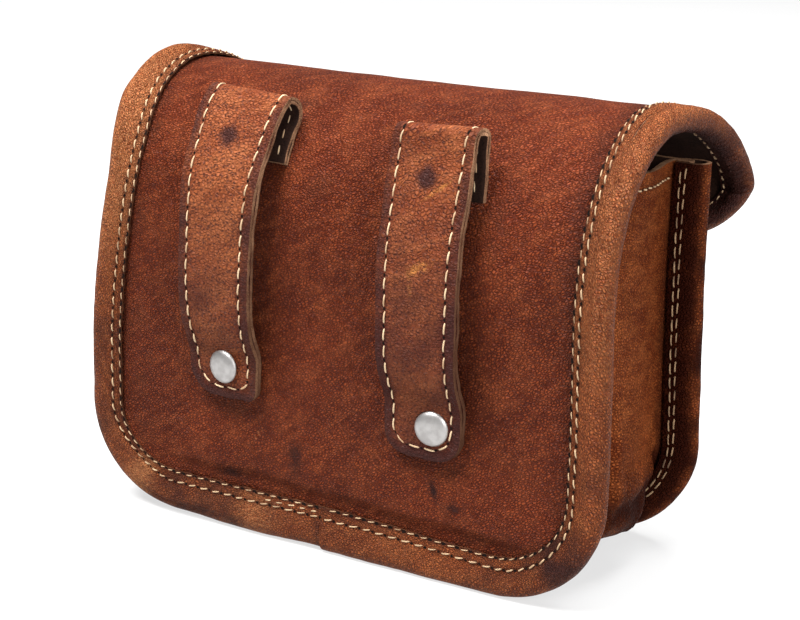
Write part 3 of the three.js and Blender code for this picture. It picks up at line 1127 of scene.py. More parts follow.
    def build(self, name: str, across: int, start: float, end: float) -> bpy.types.Object:
        """Forms the strip.

        Args:
            name: the piece's name.
            across: faces across the strip.
            start: length along the line where it starts.
            end: length where it ends.

        Returns:
            The strip as a single face of leather.
        """

        def form(u: float, v: float) -> Formed:
            t = lerp(start, end, v)
            station = self.line.at(t)
            a, n = self.section(t, station, u)
            puckered = smooth(0.64, 0.76, u) * smooth(0.9, 0.84, u) * self.flap(station.s)
            n += 0.26 * math.sin(2.4 * t) * puckered
            stain_and_shade = marks(self.spots, station.x, station.s) * (0.65 + 0.6 * waver(t, u * 20, 6.0, 7.7))
            # Painted shade: the back half of the roll and the inner lip are darkened, where the roll keeps
            # the light off them.
            under = 0.85 * smooth(0.6, 0.8, u)
            # Darker at the outer lip's raw edge and in the stitch groove: painted shade at the edge's step
            # and in the groove, with some edge wear.
            edge = smooth(0.12, 0.0, u) * 0.7 + 0.45 * hump(a - self.row(station), 0.7) * smooth(0.5, 0.4, u)
            # Darker where the two ends lap: stains, with painted shadow along the upper end's step.
            seam = 0.8 * hump(t - start, 2.0) + 0.35 * hump(t - 1.0, 1.2) if self.joint else 0.0
            rubbed = marks(self.rubs, station.x, station.s) * smooth(0.72, 0.56, u)
            paint = (min(1.0, max(0.0, stain_and_shade + seam, under)), min(1.0, rubbed), min(1.0, edge))
            return Formed(self.point(t, a, n), (t, u * 25.0), paint, self.skived(u))

        along = round((end - start) / self.mesh_step)
        return formed_sheet(name, across, along, form, self.seed * 40, self.flip)


@dataclass
class ThreadWork:
    """Gathers stitches and needle holes into one mesh of thread and one of holes.

    The ends of each stitch go into the leather by dip.
    """

    name: str
    radius: float = 0.32
    dip: float = 0.28
    sides: int = 6
    rings: int = 7
    thread: bmesh.types.BMesh = field(init=False)
    holes: bmesh.types.BMesh = field(init=False)
    stitch: bpy.types.Mesh = field(init=False)
    eye: bpy.types.Mesh = field(init=False)
    count: int = field(init=False, default=0)

    def __post_init__(self) -> None:
        """Makes the two small shapes that are repeated."""
        self.thread = bmesh.new()
        self.holes = bmesh.new()
        self.stitch = self.stitch_shape()
        self.eye = self.eye_shape()

    def stitch_shape(self) -> bpy.types.Mesh:
        """A closed thread of unit length along x, with its ends drawn in.

        Returns:
            The mesh: x from -0.5 to 0.5, and a radius of about 1 across y and z.
        """
        bm = bmesh.new()
        lying = Matrix.Rotation(math.radians(90), 4, "Y")
        bmesh.ops.create_cone(
            bm, cap_ends=True, segments=self.sides, radius1=1.0, radius2=1.0, depth=1.0, matrix=lying
        )
        long_edges = [edge for edge in bm.edges if abs(edge.verts[0].co.x - edge.verts[1].co.x) > 0.5]
        bmesh.ops.subdivide_edges(bm, edges=long_edges, cuts=self.rings - 2, use_grid_fill=True)
        for vert in bm.verts:
            swell = 0.55 + 0.45 * math.sqrt(max(0.0, 1 - (2 * vert.co.x) ** 4))
            vert.co.y *= swell
            vert.co.z *= swell
        mesh = bpy.data.meshes.new(self.name + "_stitch_shape")
        bm.to_mesh(mesh)
        bm.free()
        return mesh

    def eye_shape(self) -> bpy.types.Mesh:
        """A small dished disc of unit radius.

        Returns:
            The mesh, in x and y, with its face towards +z.
        """
        bm = bmesh.new()
        bmesh.ops.create_circle(bm, cap_ends=True, segments=9, radius=1.0)
        bmesh.ops.inset_region(bm, faces=bm.faces[:], thickness=0.45)
        bmesh.ops.poke(bm, faces=[face for face in bm.faces if len(face.verts) > 4])
        for vert in bm.verts:
            vert.co.z = -0.25 * (1 - min(1.0, vert.co.to_2d().length))
        mesh = bpy.data.meshes.new(self.name + "_eye_shape")
        bm.to_mesh(mesh)
        bm.free()
        return mesh

    @staticmethod
    def stamp(bm: bmesh.types.BMesh, shape: bpy.types.Mesh, move: Callable[[Vector], Vector]) -> None:
        """Adds a copy of a small shape with each point moved to its place."""
        bm.from_mesh(shape)
        bm.verts.ensure_lookup_table()
        for vert in bm.verts[-len(shape.vertices) :]:
            vert.co = move(vert.co) * MM

    def row(
        self,
        point: Callable[[float, float, float], Vector],
        start: float,
        end: float,
        pitch: float,
        shown: float = 0.66,
        proud: float = 0.16,
        eye: float = 0.4,
        slant: float = 0.14,
        weight: float = 1.0,
    ) -> None:
        """Sews one row.

        Args:
            point: place for a length along the row, a distance to its side and a height over the leather.
            start: length where the row starts.
            end: length where it ends.
            pitch: stitch length.
            shown: share of the pitch that the thread shows.
            proud: height of the thread's middle line over the leather.
            eye: radius of a needle hole, 0 for none.
            slant: sideways step of each stitch.
            weight: share of the thread's usual radius.
        """
        count = max(1, round((end - start) / pitch))
        pitch = (end - start) / count
        for index in range(count):
            wander = 0.12 * waver(self.count * 3.7, 0, 1.0, 5.5)
            length = pitch * (shown + 0.09 * waver(self.count * 1.9, 0, 1.0, 8.5))
            middle = start + (index + 0.5) * pitch + wander
            thick = self.radius * weight * (1 + 0.16 * waver(self.count * 2.3, 0, 1.0, 2.5))
            self.count += 1

            def thread_at(co: Vector) -> Vector:
                lift = proud - (proud + self.dip) * abs(2 * co.x) ** 3
                side = co.y * thick + slant * 2 * co.x + wander
                return point(middle + co.x * length, side, lift + co.z * thick)

            def eye_at(co: Vector) -> Vector:
                along = middle - pitch / 2 + co.x * eye * 1.15
                return point(along, co.y * eye * 0.9 + wander, 0.05 + co.z * 0.1)

            self.stamp(self.thread, self.stitch, thread_at)
            if eye:
                self.stamp(self.holes, self.eye, eye_at)

    def finish(
        self, slot: Slot, thread: bpy.types.Material, hole: bpy.types.Material
    ) -> list[bpy.types.Object]:
        """Makes the pieces.

        Args:
            slot: the record's slot of what is sewn.
            thread: finish of the thread.
            hole: finish of the needle holes.

        Returns:
            The thread, and the holes if there are any.
        """
        pieces = []
        for bm, suffix, finish in (
            (self.thread, "stitches", thread),
            (self.holes, "needle_holes", hole),
        ):
            if not bm.verts:
                bm.free()
                continue
            if bm is self.thread:
                bmesh.ops.recalc_face_normals(bm, faces=bm.faces[:])
            for face in bm.faces:
                face.smooth = True
            pieces.append(dress(linked(f"{self.name}_{suffix}", bm), slot, finish))
        bpy.data.meshes.remove(self.stitch)
        bpy.data.meshes.remove(self.eye)
        return pieces


@dataclass
class FoldedPanel:
    """The back, the roof and the flap in one piece of leather, and the binding round it."""

    shell: Shell
    finishes: Finishes
    inset: float = 5.0
    seam_side: float = 9.4
    seam_foot: float = 10.6
    ridge_height: float = 15.0
    stains: Sequence[Spot] = (
        Spot(9.0, 23.4, 2.0, 4.2, 0.58),
        Spot(29.0, 15.2, 4.0, 1.6, 0.62),
        Spot(-29.9, 23.2, 1.1, 3.0, 0.85, -20),
        Spot(-35.8, 20.1, 2.6, 1.4, 0.66),
        Spot(58, 36, 6, 22, 0.2),
        Spot(8, 92, 6, 10, 0.2),
        Spot(-44, 91, 4, 9, 0.2),
        # Painted shade: the next two bands lie just below the straps' free ends.
        Spot(28, 33, 12, 3, 0.2),
        Spot(-30, 30, 12, 3, 0.2),
        Spot(-15, 118, 16, 3, 0.2),
        Spot(20, 114, 10, 2, 0.18),
        Spot(-58, 16, 10, 3, 0.25),
    )
    scuffs: Sequence[Spot] = (
        Spot(20.8, 27.2, 0.4, 3.0, 0.7, 38),
        Spot(19.2, 25.2, 0.25, 1.4, 0.7, 50),
        Spot(-6, 34, 0.3, 3.0, 0.4, -60),
        Spot(4, 118, 0.3, 2.5, 0.4, 70),
    )

    def edge_line(self) -> EdgeLine:
        """The line round the whole panel, from the lap on its foot.

        Returns:
            The edge line, closed on itself.
        """
        shell = self.shell
        half, low = shell.width / 2 - BEAD_BACK, BEAD_BACK
        foot = shell.corner - BEAD_BACK
        high = shell.length - BEAD_FLAP
        tip = shell.flap_corner - BEAD_FLAP
        inner, tip_s = half - foot, high - tip
        lap = 1.5
        line = EdgeLine()
        line.straight(lap, low, inner, low, 0, -1)
        line.arc(inner, low + foot, foot, -90, 0)
        line.straight(half, low + foot, half, tip_s, 1, 0)
        line.arc(half - tip, tip_s, tip, 0, 90)
        line.straight(half - tip, high, tip - half, high, 0, 1)
        line.arc(tip - half, tip_s, tip, 90, 180)
        line.straight(-half, tip_s, -half, low + foot, -1, 0)
        line.arc(-inner, low + foot, foot, 180, 270)
        line.straight(-inner, low, lap, low, 0, -1)
        line.push(Station(lap, low, 0, -1))
        return line

    def relief(self, x: float, s: float) -> float:
        """How far the leather stands out of its smooth form, in millimetres."""
        shell = self.shell
        half = shell.width / 2
        from_side = half - self.seam_side - abs(x)
        from_foot = s - self.seam_foot
        drawn = -0.5 * hump(max(0.0, from_side), 2.6) * smooth(118, 100, s)
        ridge = self.ridge_height + 0.02 * x + 1.1 * waver(x, 0, 22, 1.5)
        reach = smooth(-62, -44, x) * smooth(56, 36, x)
        shelf = smooth(ridge - 0.6, ridge + 2.2, s) * smooth(33, 18, s)
        crest = reach * (0.95 * shelf - 0.4 * hump(s - ridge + 0.8, 1.3))
        drawn -= 0.35 * hump(max(0.0, from_foot), 2.4)
        swell = 0.32 * waver(x, s, 26, 0.3) + 0.14 * waver(x, s, 11, 2.3)
        turned_x = 0.8 * x - 0.6 * s
        turned_s = 0.6 * x + 0.8 * s
        wrinkle = 0.11 * waver(turned_x * 0.25, turned_s, 2.4, 4.3) * smooth(80, 92, s) * smooth(150, 125, s)
        roof = smooth(96, 112, s) * smooth(168, 140, s)
        ends = roof * (0.3 * smooth(-52, -66, x) - 0.6 * smooth(-40, 10, x))
        seat = self.under_straps(x, s)
        return (swell + wrinkle) * (1 - seat) + crest + drawn + ends

    @staticmethod
    def under_straps(x: float, s: float) -> float:
        """1 where a strap is fixed to the panel, so that it lies flat there."""
        best = 0.0
        for centre in STRAPS_AT:
            near = smooth(16, 10, abs(x - centre))
            best = max(best, near * max(smooth(54, 48, s), smooth(90, 96, s) * smooth(114, 108, s)))
        return best

    def sheet(self) -> bpy.types.Object:
        """Forms and dresses the panel.

        Returns:
            The panel.
        """
        shell = self.shell
        low, high = self.inset + 0.6, shell.length - self.inset
        foot, tip = shell.corner - self.inset, shell.flap_corner - self.inset
        half_full = shell.width / 2 - self.inset

        def form(u: float, v: float) -> Formed:
            s = lerp(low, high, v)
            half = shell.half_width(s, low - 0.6, high + 0.4, foot, tip, half_full)
            x = lerp(-half, half, u)
            # Darker in the dip beside the binding's lip and below the fold over the foot: painted shade.
            seam = smooth(7.0, 0.0, half_full - LIP_COVER - abs(x)) * 0.35 + smooth(17.0, 10.0, s) * 0.3
            stain_and_shade = marks(self.stains, x, s) + 0.08 * max(0.0, waver(x, s, 19, 6.1))
            paint = (min(1.0, stain_and_shade), marks(self.scuffs, x, s), min(1.0, seam))
            return Formed(shell.place(x, s, self.relief(x, s)), (x, s), paint)

        piece = formed_sheet("back_panel_leather", across=140, along=200, form=form, seed=0.0, flip=True)
        thicken(piece, shell.leather, offset=-1, edge=0.2)
        dress(piece, Slot.PANEL, self.finishes.panel, self.finishes.inside, self.finishes.raw)
        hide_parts("back_panel")
        return piece

    @staticmethod
    def bead_lift(x: float, s: float) -> float:
        """How far the bead stands out over the roof, high at one end and lying back at the other."""
        left = 2.4 * smooth(20, 60, x) * smooth(86, 101, s) * smooth(154, 116, s)
        lying = 1.5 * hump(s - 120, 17) - 1.4 * hump(s - 165, 18)
        return left - lying * smooth(-25, -60, x)

    @staticmethod
    def creep(station: Station) -> tuple[float, float]:
        """How much further in the outer row and the raw edge lie, on one side and along the foot."""
        foot = station.foot
        corner = 4 * station.nx**2 * foot * smooth(0, 20, station.x)
        side = station.nx**2 * smooth(0, 20, station.x) * smooth(150, 110, station.s)
        row = 1.9 * foot * smooth(-60, -8, station.x) + 1.1 * corner + 0.6 * side
        edge = 1.5 * foot * smooth(-45, -3, station.x) + 0.25 * corner + 0.9 * side
        return row, edge

    def bound_edge(self) -> BoundEdge:
        """The binding round the panel.

        Returns:
            The bound edge.
        """
        past_gusset = self.shell.length_at(GUSSET_TOP) + 2
        return BoundEdge(
            line=self.edge_line(),
            place=self.shell.place,
            flap=lambda s: smooth(past_gusset, past_gusset + 8, s),
            proud=self.bead_lift,
            creep=self.creep,
            rubs=(
                Spot(68, 112, 12, 38, 0.42),
                Spot(68, 74, 8, 20, 0.25),
                Spot(-68, 98, 10, 36, 0.32),
                Spot(-68, 60, 8, 20, 0.2),
                Spot(-68, 150, 10, 26, 0.3),
                Spot(58, 8, 7, 5, 0.5, 35),
                Spot(21, 4, 9, 5, 0.4),
                Spot(-20, 3, 14, 4, 0.25),
            ),
            spots=(
                Spot(69.7, 18, 6, 11, 0.5),
                Spot(45, 6, 14, 6, 0.6),
                Spot(29.5, 5, 7, 4, 0.6),
                Spot(14, 5, 6, 4, 0.35),
                Spot(-65, 11, 8, 8, 1.0),
                Spot(-46, 5, 8, 5, 0.4),
                Spot(70, 46, 4, 9, 0.4),
                Spot(-69, 34, 5, 9, 0.3),
                Spot(70, 84, 4, 7, 0.25),
                Spot(-60, 205, 12, 12, 0.6),
                Spot(-69, 180, 8, 14, 0.5),
                Spot(30, 206, 25, 6, 0.35),
            ),
            seed=1.0,
            joint=True,
        )

    def binding(self, edge: BoundEdge) -> bpy.types.Object:
        """Forms and dresses the binding.

        Args:
            edge: the bound edge.

        Returns:
            The strip.
        """
        start, end = -6.0, edge.line.length
        piece = edge.build("panel_binding_leather", 30, start, end)
        thicken(piece, edge.thick, offset=-1, edge=0.22)
        dress(piece, Slot.BINDING, self.finishes.binding, self.finishes.inside, self.finishes.edge)
        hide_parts("panel_binding")
        return piece

    def sew(self, edge: BoundEdge) -> list[bpy.types.Object]:
        """Sews the binding's rows on both sides.

        Args:
            edge: the bound edge.

        Returns:
            The pieces of thread and of needle holes.
        """
        work = ThreadWork("panel_binding", radius=0.21)
        end = edge.line.length
        work.row(edge.outer_row(0.0), 0.4, end - 0.2, edge.pitch, shown=0.64, eye=0.36, slant=0.22)
        work.row(edge.edge_row(), 1.6, end - 1.2, edge.pitch, shown=0.56, proud=0.02, eye=0.56, weight=0.75)
        work.row(edge.outer_row(1.25), 0.6, 17.5, edge.pitch, eye=0.3)
        work.row(edge.inner_row(1.9), 0.4, end - 0.2, edge.pitch, eye=0.3)
        work.row(edge.inner_row(4.1), 1.6, end - 1.2, edge.pitch, eye=0.3)
        return work.finish(Slot.BINDING, self.finishes.thread, self.finishes.hole)


@dataclass
class FullFront:
    """The front of the bag, standing out as a filled one does, and the binding round its sides and foot."""

    shell: Shell
    finishes: Finishes
    inset: float = 5.0
    crown_edge: float = 63.7
    crown_foot: float = 10.4

    def crown(self, x: float, height: float) -> float:
        """How far the front stands out of its edge."""
        shell = self.shell
        across = max(0.0, 1 - abs(x / self.crown_edge) ** 2.4)
        rise = smooth(self.crown_foot, self.crown_foot + 42, height)
        return shell.crown * across * rise * (1 - 0.7 * smooth(60, shell.front_top, height))

    def sheet(self) -> bpy.types.Object:
        """Forms and dresses the front.

        Returns:
            The front panel.
        """
        shell = self.shell
        low, high = self.inset + 0.6, shell.front_top
        foot = shell.corner - self.inset
        half_full = shell.width / 2 - self.inset

        def form(u: float, v: float) -> Formed:
            s = lerp(low, high, v)
            half = shell.half_width(s, low - 0.6, high, foot, 0.0, half_full)
            x = lerp(-half, half, u)
            inside = smooth(0, 12, half_full - abs(x)) * smooth(10, 26, s)
            relief = inside * (0.4 * waver(x, s, 24, 9.3) + 0.15 * waver(x, s, 9, 3.3))
            # Darker beside the binding's lip and towards the foot: painted shade.
            seam = smooth(9.0, 2.0, half_full - LIP_COVER - abs(x)) * 0.35 + smooth(18.0, 10.0, s) * 0.35
            # Darker towards the top, where the flap covers the front: painted shade under the flap. The noise
            # adds stains.
            stain_and_shade = 0.25 * max(0.0, waver(x, s, 17, 4.1)) + 0.25 * smooth(70, 99, s)
            place = shell.front(x, s, self.crown(x, s) + relief)
            return Formed(place, (x, s), (stain_and_shade, 0.0, min(1.0, seam)))

        piece = formed_sheet("front_panel_leather", across=96, along=70, form=form, seed=50.0)
        thicken(piece, shell.leather, offset=-1, edge=0.2)
        dress(piece, Slot.PANEL, self.finishes.panel, self.finishes.inside, self.finishes.raw)
        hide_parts("front_panel")
        return piece

    def bound_edge(self) -> BoundEdge:
        """The binding round the front.

        Returns:
            The bound edge, open at the top.
        """
        shell = self.shell
        half, radius = shell.width / 2 - BEAD_BACK, shell.corner - BEAD_BACK
        low = BEAD_BACK
        line = EdgeLine()
        line.straight(-half, shell.front_top, -half, low + radius, -1, 0)
        line.arc(radius - half, low + radius, radius, 180, 270)
        line.straight(radius - half, low, half - radius, low, 0, -1)
        line.arc(half - radius, low + radius, radius, -90, 0)
        line.straight(half, low + radius, half, shell.front_top, 1, 0)
        line.push(Station(half, shell.front_top, 1, 0))
        spots = (
            Spot(-70, 60, 9, 70, 0.92),
            Spot(-60, 10, 14, 12, 0.75),
            Spot(60, 12, 14, 12, 0.45),
            Spot(0, 4, 20, 5, 0.3),
            Spot(70, 70, 6, 20, 0.3),
        )
        return BoundEdge(
            line=line,
            place=shell.front,
            flap=lambda s: 0.0,
            proud=lambda x, s: 0.0,
            creep=lambda station: (0.0, 0.0),
            spots=spots,
            seed=2.0,
            flip=False,
        )

    def binding(self, edge: BoundEdge) -> bpy.types.Object:
        """Forms and dresses the front's binding.

        Args:
            edge: the bound edge.

        Returns:
            The strip.
        """
        piece = edge.build("front_binding_leather", 30, 0.0, edge.line.length)
        thicken(piece, edge.thick, offset=-1, edge=0.22)
        dress(piece, Slot.BINDING, self.finishes.gusset, self.finishes.inside, self.finishes.raw)
        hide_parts("front_binding")
        return piece

    def sew(self, edge: BoundEdge) -> list[bpy.types.Object]:
        """Sews the front's binding on both sides.

        Args:
            edge: the bound edge.

        Returns:
            The pieces of thread and of needle holes.
        """
        work = ThreadWork("front_binding", radius=0.22)
        end = edge.line.length
        work.row(edge.outer_row(0.0), 0.8, end - 0.8, edge.pitch, shown=0.62)
        work.row(edge.edge_row(), 2.0, end - 2.0, edge.pitch, shown=0.5, proud=0.08, eye=0.5)
        for inward, stop, shown, slant in ((1.9, 0.8, 0.96, 0.1), (3.2, 2.0, 0.92, -0.06)):
            point = edge.inner_row(inward)
            work.row(point, stop, end - stop, edge.pitch, shown, proud=0.34, eye=0.3, slant=slant)
        return work.finish(Slot.BINDING, self.finishes.grimy, self.finishes.hole)


@dataclass
class GatheredGusset:
    """The strip that makes the sides and the bottom, with a flange turned out under each panel.

    Each flange takes up the share rim of the strip's width.
    """

    shell: Shell
    finishes: Finishes
    inset: float = 9.0
    edge: float = 5.0
    bulge: float = 2.6
    corner_bulge: float = 7.2
    top: float = GUSSET_TOP
    gather: float = 2.2
    folds: int = 3
    hem: float = 4.6
    rim: float = 0.1
    flat_width: float = 61.5
    mesh_step: float = 0.95

    def line(self) -> EdgeLine:
        """The middle line of the gusset, from the top of one side round the bottom to the other.

        Returns:
            The edge line, in lengths of the back panel.
        """
        shell = self.shell
        wall = shell.width / 2 - self.inset
        radius = shell.corner - self.inset
        top = shell.length_at(self.top)
        line = EdgeLine(step=0.7)
        line.straight(-wall, top, -wall, shell.corner, -1, 0)
        line.arc(radius - wall, shell.corner, radius, 180, 270)
        line.straight(radius - wall, self.inset, wall - radius, self.inset, 0, -1)
        line.arc(wall - radius, shell.corner, radius, -90, 0)
        line.straight(wall, shell.corner, wall, top, 1, 0)
        line.push(Station(wall, top, 1, 0))
        return line

    @staticmethod
    def turn(station: Station) -> float:
        """Angle round a foot corner, 0 on the side."""
        return abs(math.atan2(station.ns, abs(station.nx)))

    @staticmethod
    def tuck(turn: float, across: float) -> float:
        """Distance across the gusset from the deep crease beside the front's seam."""
        return across - lerp(0.92, 0.74, smooth(0.1, 0.85, turn))

    @staticmethod
    def tucked(turn: float) -> float:
        """1 where a foot corner has that crease, 0 beside it."""
        return smooth(0.05, 0.25, turn) * smooth(1.05, 0.75, turn)

    def wave(self, turn: float, share: float) -> float:
        """The gathers round a foot corner, from 0 to 1."""
        return 0.5 + 0.5 * math.cos(turn * 4 * self.folds + 2.4 * share)

    def pleats(self, station: Station, turn: float, across: float) -> float:
        """Height of the folds that the gusset is gathered into by its foot corners.

        Args:
            station: the place on the middle line.
            turn: angle of the corner there, 0 on the side.
            across: share across the wall, from the back's seam to the front's.

        Returns:
            The height in millimetres.
        """
        low = smooth(52, 34, station.s) * smooth(1.4, 0.9, turn)
        ridges = 1.3 * hump(across - 0.2, 0.055) - 1.2 * hump(across - 0.285, 0.04)
        ridges += 0.8 * hump(across - 0.37, 0.05)
        beside = self.tuck(turn, across)
        crease = 1.3 * hump(beside + 0.1, 0.05) - 2.8 * hump(beside, 0.04)
        return low * ridges + crease * self.tucked(turn)

    def wall_point(self, line: EdgeLine, t: float, share: float, out: float) -> Vector:
        """Where a point of the gusset lies.

        Args:
            line: its middle line.
            t: length along it.
            share: across it, from the back flange at 0 to the front one at 1.
            out: out of its outer face.

        Returns:
            The place in millimetres.
        """
        shell = self.shell
        station = line.at(t)
        top = shell.length_at(self.top)
        above = max(0.0, station.s - shell.straight)
        front_s = station.s - above + above * (shell.front_top - shell.straight) / (top - shell.straight)
        turn = self.turn(station)
        corner = math.sin(2 * turn)
        ruffle = self.gather * corner * self.wave(turn, share) ** 2
        slack = 0.5 * waver(t, share * 40, 16, 3.1) + 0.3 * waver(t, share * 26, 6, 5.1)
        bulge = lerp(self.bulge, self.corner_bulge, corner) + slack
        flange = self.inset - self.edge
        rim = self.rim
        if share < rim:
            a, across = flange * (1 - share / rim), 0.0
        elif share > 1 - rim:
            a, across = flange * (share - 1 + rim) / rim, 1.0
        else:
            across = (share - rim) / (1 - 2 * rim)
            dome = math.sin(math.pi * across ** lerp(1.0, 1.25, corner))
            a = bulge * dome**2 - ruffle * dome**0.7 + self.pleats(station, turn, across)
        edge_n = -shell.leather - 0.3 - shell.leather
        inward = edge_n + 0.4 * hump(min(across, 1 - across), 0.02)
        back = shell.place(station.x + (a + out) * station.nx, station.s + (a + out) * station.ns, inward)
        front = shell.front(station.x + (a + out) * station.nx, front_s + (a + out) * station.ns, inward)
        at = back.lerp(front, across)
        at.z = max(0.0, at.z)
        return at

    def sheet(self, line: EdgeLine) -> bpy.types.Object:
        """Forms and dresses the gusset.

        Args:
            line: its middle line.

        Returns:
            The gusset.
        """
        length = line.length

        def form(u: float, v: float) -> Formed:
            t = lerp(0.0, length, v)
            station = line.at(t)
            turn = self.turn(station)
            across = (u - self.rim) / (1 - 2 * self.rim)
            # Painted shade in the valleys of the gathers.
            crease = math.sin(2 * turn) * self.wave(turn, u)
            # Painted shade in the creases beside both seams.
            seam_shade = 0.5 * smooth(0.24, 0.1, min(u, 1 - u))
            hem = 0.4 * hump(min(t, length - t) - self.hem, 0.9)
            # Painted shade in the deep crease beside the front's seam.
            tucked = hump(self.tuck(turn, across), 0.05) * self.tucked(turn)
            # Darker towards the bottom.
            low = 0.6 * smooth(40, 16, station.s)
            stain_and_shade = 0.3 * crease + 0.2 * max(0.0, waver(t, u * 40, 14, 8.1)) + hem + 0.8 * tucked + low
            return Formed(self.wall_point(line, t, u, 0.0), (t, u * 62), (min(1.0, stain_and_shade), 0.0, seam_shade))

        along = round(length / self.mesh_step)
        piece = formed_sheet("gusset_leather", across=76, along=along, form=form, seed=90.0, flip=True)
        thicken(piece, self.shell.leather, offset=-1, edge=0.2)
        dress(piece, Slot.BINDING, self.finishes.gusset, self.finishes.inside, self.finishes.raw)
        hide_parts("gusset")
        return piece

    def sew(self, line: EdgeLine) -> list[bpy.types.Object]:
        """Sews the hem at each top end of the gusset.

        Args:
            line: its middle line.

        Returns:
            The pieces of thread and of needle holes.
        """
        work = ThreadWork("gusset_hem", radius=0.28)
        depth = self.shell.front_depth
        for t in (self.hem, line.length - self.hem):

            def point(run: float, side: float, up: float, t: float = t) -> Vector:
                share = self.rim + (1 - 2 * self.rim) * run / depth
                return self.wall_point(line, t + side, share, up)

            work.row(point, 3.0, depth - 3.0, 3.4, eye=0.3)
        return work.finish(Slot.BINDING, self.finishes.thread, self.finishes.hole)


@dataclass
class BeltLoop:
    """A doubled strap, folded over at its top, sewn round its edge and riveted to the back.

    Heights are from the floor. The strap's middle line is given on both sides of the fold by tab and run, as
    distances out of the back and heights. It lies at centre across the bag, moved aside by sway at the fold
    and by tab_shift in the tab. Widths are those at its foot, its middle and its fold, and lift is how much
    further up the fold reaches at the strap's edges towards +x and -x. Each layer has the share layer_share
    of the strap's thickness.
    """

    shell: Shell
    finishes: Finishes
    side: str
    centre: float
    sway: float
    tab_shift: float
    tab: Sequence[tuple[float, float]]
    fold: float
    end: float
    rivet_at: tuple[float, float]
    rivet_turn: float
    widths: tuple[float, float, float]
    corners: tuple[float, float]
    run: Sequence[tuple[float, float]]
    diamond: Spot
    scuffs: Sequence[Spot]
    shade: float
    lift: tuple[float, float]
    seed: float
    thick: float = 2.5
    fold_thick: float = 0.72
    gap: float = 0.25
    row_in: float = 2.45
    foot_in: float = 2.8
    pitch: float = 4.0
    fold_angles: Sequence[float] = (36, 72, 108, 144)
    layer_share: float = 0.47
    filled: float = 0.94
    mesh_step: float = 0.75
    path: list[Vector] = field(init=False, default_factory=list)
    lengths: list[float] = field(init=False, default_factory=list)
    fold_span: tuple[float, float] = field(init=False, default=(0.0, 0.0))

    def __post_init__(self) -> None:
        """Walks the strap's middle line from its tab, over the fold, to its free end."""
        knots = self.knots()
        knots_at = []
        for index in range(len(knots) - 1):
            before = knots[max(0, index - 1)]
            first, second = knots[index], knots[index + 1]
            after = knots[min(len(knots) - 1, index + 2)]
            reach = (second - first).length / 3
            pull = (second - before).normalized() * reach
            push = (after - first).normalized() * reach
            knots_at.append(len(self.path))
            self.path += interpolate_bezier(first, first + pull, second - push, second, 9)[:-1]
        self.path.append(knots[-1])
        self.lengths = walk(self.path)
        tab_end = len(self.tab) - 1
        run_start = len(self.tab) + len(self.fold_angles)
        self.fold_span = (self.lengths[knots_at[tab_end]], self.lengths[knots_at[run_start]])

    def knots(self) -> list[Vector]:
        """Points that the middle line goes through, with x at 0.

        Returns:
            The points from the tab's end to the free end.
        """
        face = self.shell.back_y
        tab = [Vector((0, face + out, up)) for out, up in self.tab]
        lead = (tab[-1] - tab[-2]).normalized()
        middle = tab[-1] + Vector((0, lead.z, -lead.y)) * self.fold
        spoke = tab[-1] - middle
        turns = [Matrix.Rotation(math.radians(-angle), 3, "X") for angle in self.fold_angles]
        turned = [turn @ spoke + middle for turn in turns]
        run = [Vector((0, face + out, up)) for out, up in self.run]
        seat = self.gap + self.thick / 2
        end = [Vector((0, face + seat, self.end + up)) for up in (5.5, 2.5, 0.0)]
        return tab + turned + run + end

    @property
    def length(self) -> float:
        """Length of the strap from its tab to its free end."""
        return self.lengths[-1]

    def at(self, t: float) -> tuple[Vector, Vector]:
        """The middle line's place and its outward direction at a length along the strap."""
        here, run = on_line(self.path, self.lengths, t)
        return here, Vector((0.0, -run.z, run.y))

    def half(self, t: float, side: float) -> float:
        """Half width of the strap at a length along it, on its side towards +x or -x."""
        from_end = self.length - t
        foot, middle, top = self.widths
        half = lerp(lerp(foot, middle, smooth(5, 40, from_end)), top, smooth(40, 78, from_end)) / 2
        radius = self.corners[0] if side > 0 else self.corners[1]
        if from_end < radius:
            half -= radius - math.sqrt(max(0.0, radius**2 - (radius - from_end) ** 2))
        return half

    def middle(self, t: float, height: float) -> float:
        """Where the strap's middle lies across the bag."""
        first, last = self.fold_span
        swayed = self.sway * smooth(48, 102, height)
        return self.centre + lerp(self.tab_shift, swayed, smooth(first, last, t))

    def layer_thick(self, t: float) -> float:
        """Share of its thickness that a layer keeps, less over the fold and in the tab."""
        last = self.fold_span[1]
        return lerp(self.fold_thick, 1.0, smooth(last - 3, last + 16, t))

    def point(self, w: float, t: float, out: float) -> Vector:
        """Where a point of the strap lies.

        Args:
            w: across the strap from its middle.
            t: along it from the tab's end.
            out: out of its middle line, towards its face, as a share of half its thickness.

        Returns:
            The place in millimetres.
        """
        here, outward = self.at(t)
        free = smooth(20, 34, t) * smooth(22, 34, self.length - t)
        curl = -0.35 * free * (w / 10.5) ** 2
        place = here + outward * (out * self.thick / 2 * self.layer_thick(t) + curl)
        place.x = self.middle(t, here.z) + w
        place.z += lerp(self.lift[1], self.lift[0], 0.5 + w / 22) * smooth(80, 103, here.z)
        return place

    def layer_sheet(self, name: str, out: float, finish: bpy.types.Material, seed: float) -> bpy.types.Object:
        """Forms one of the two layers.

        Args:
            name: the piece's name.
            out: its middle, out of the strap's middle line, as a share of half the strap's thickness.
            finish: material of its outer face.
            seed: tells its grain and its edge from the other's.

        Returns:
            The layer.
        """
        start, end = 0.0, self.length - 0.15

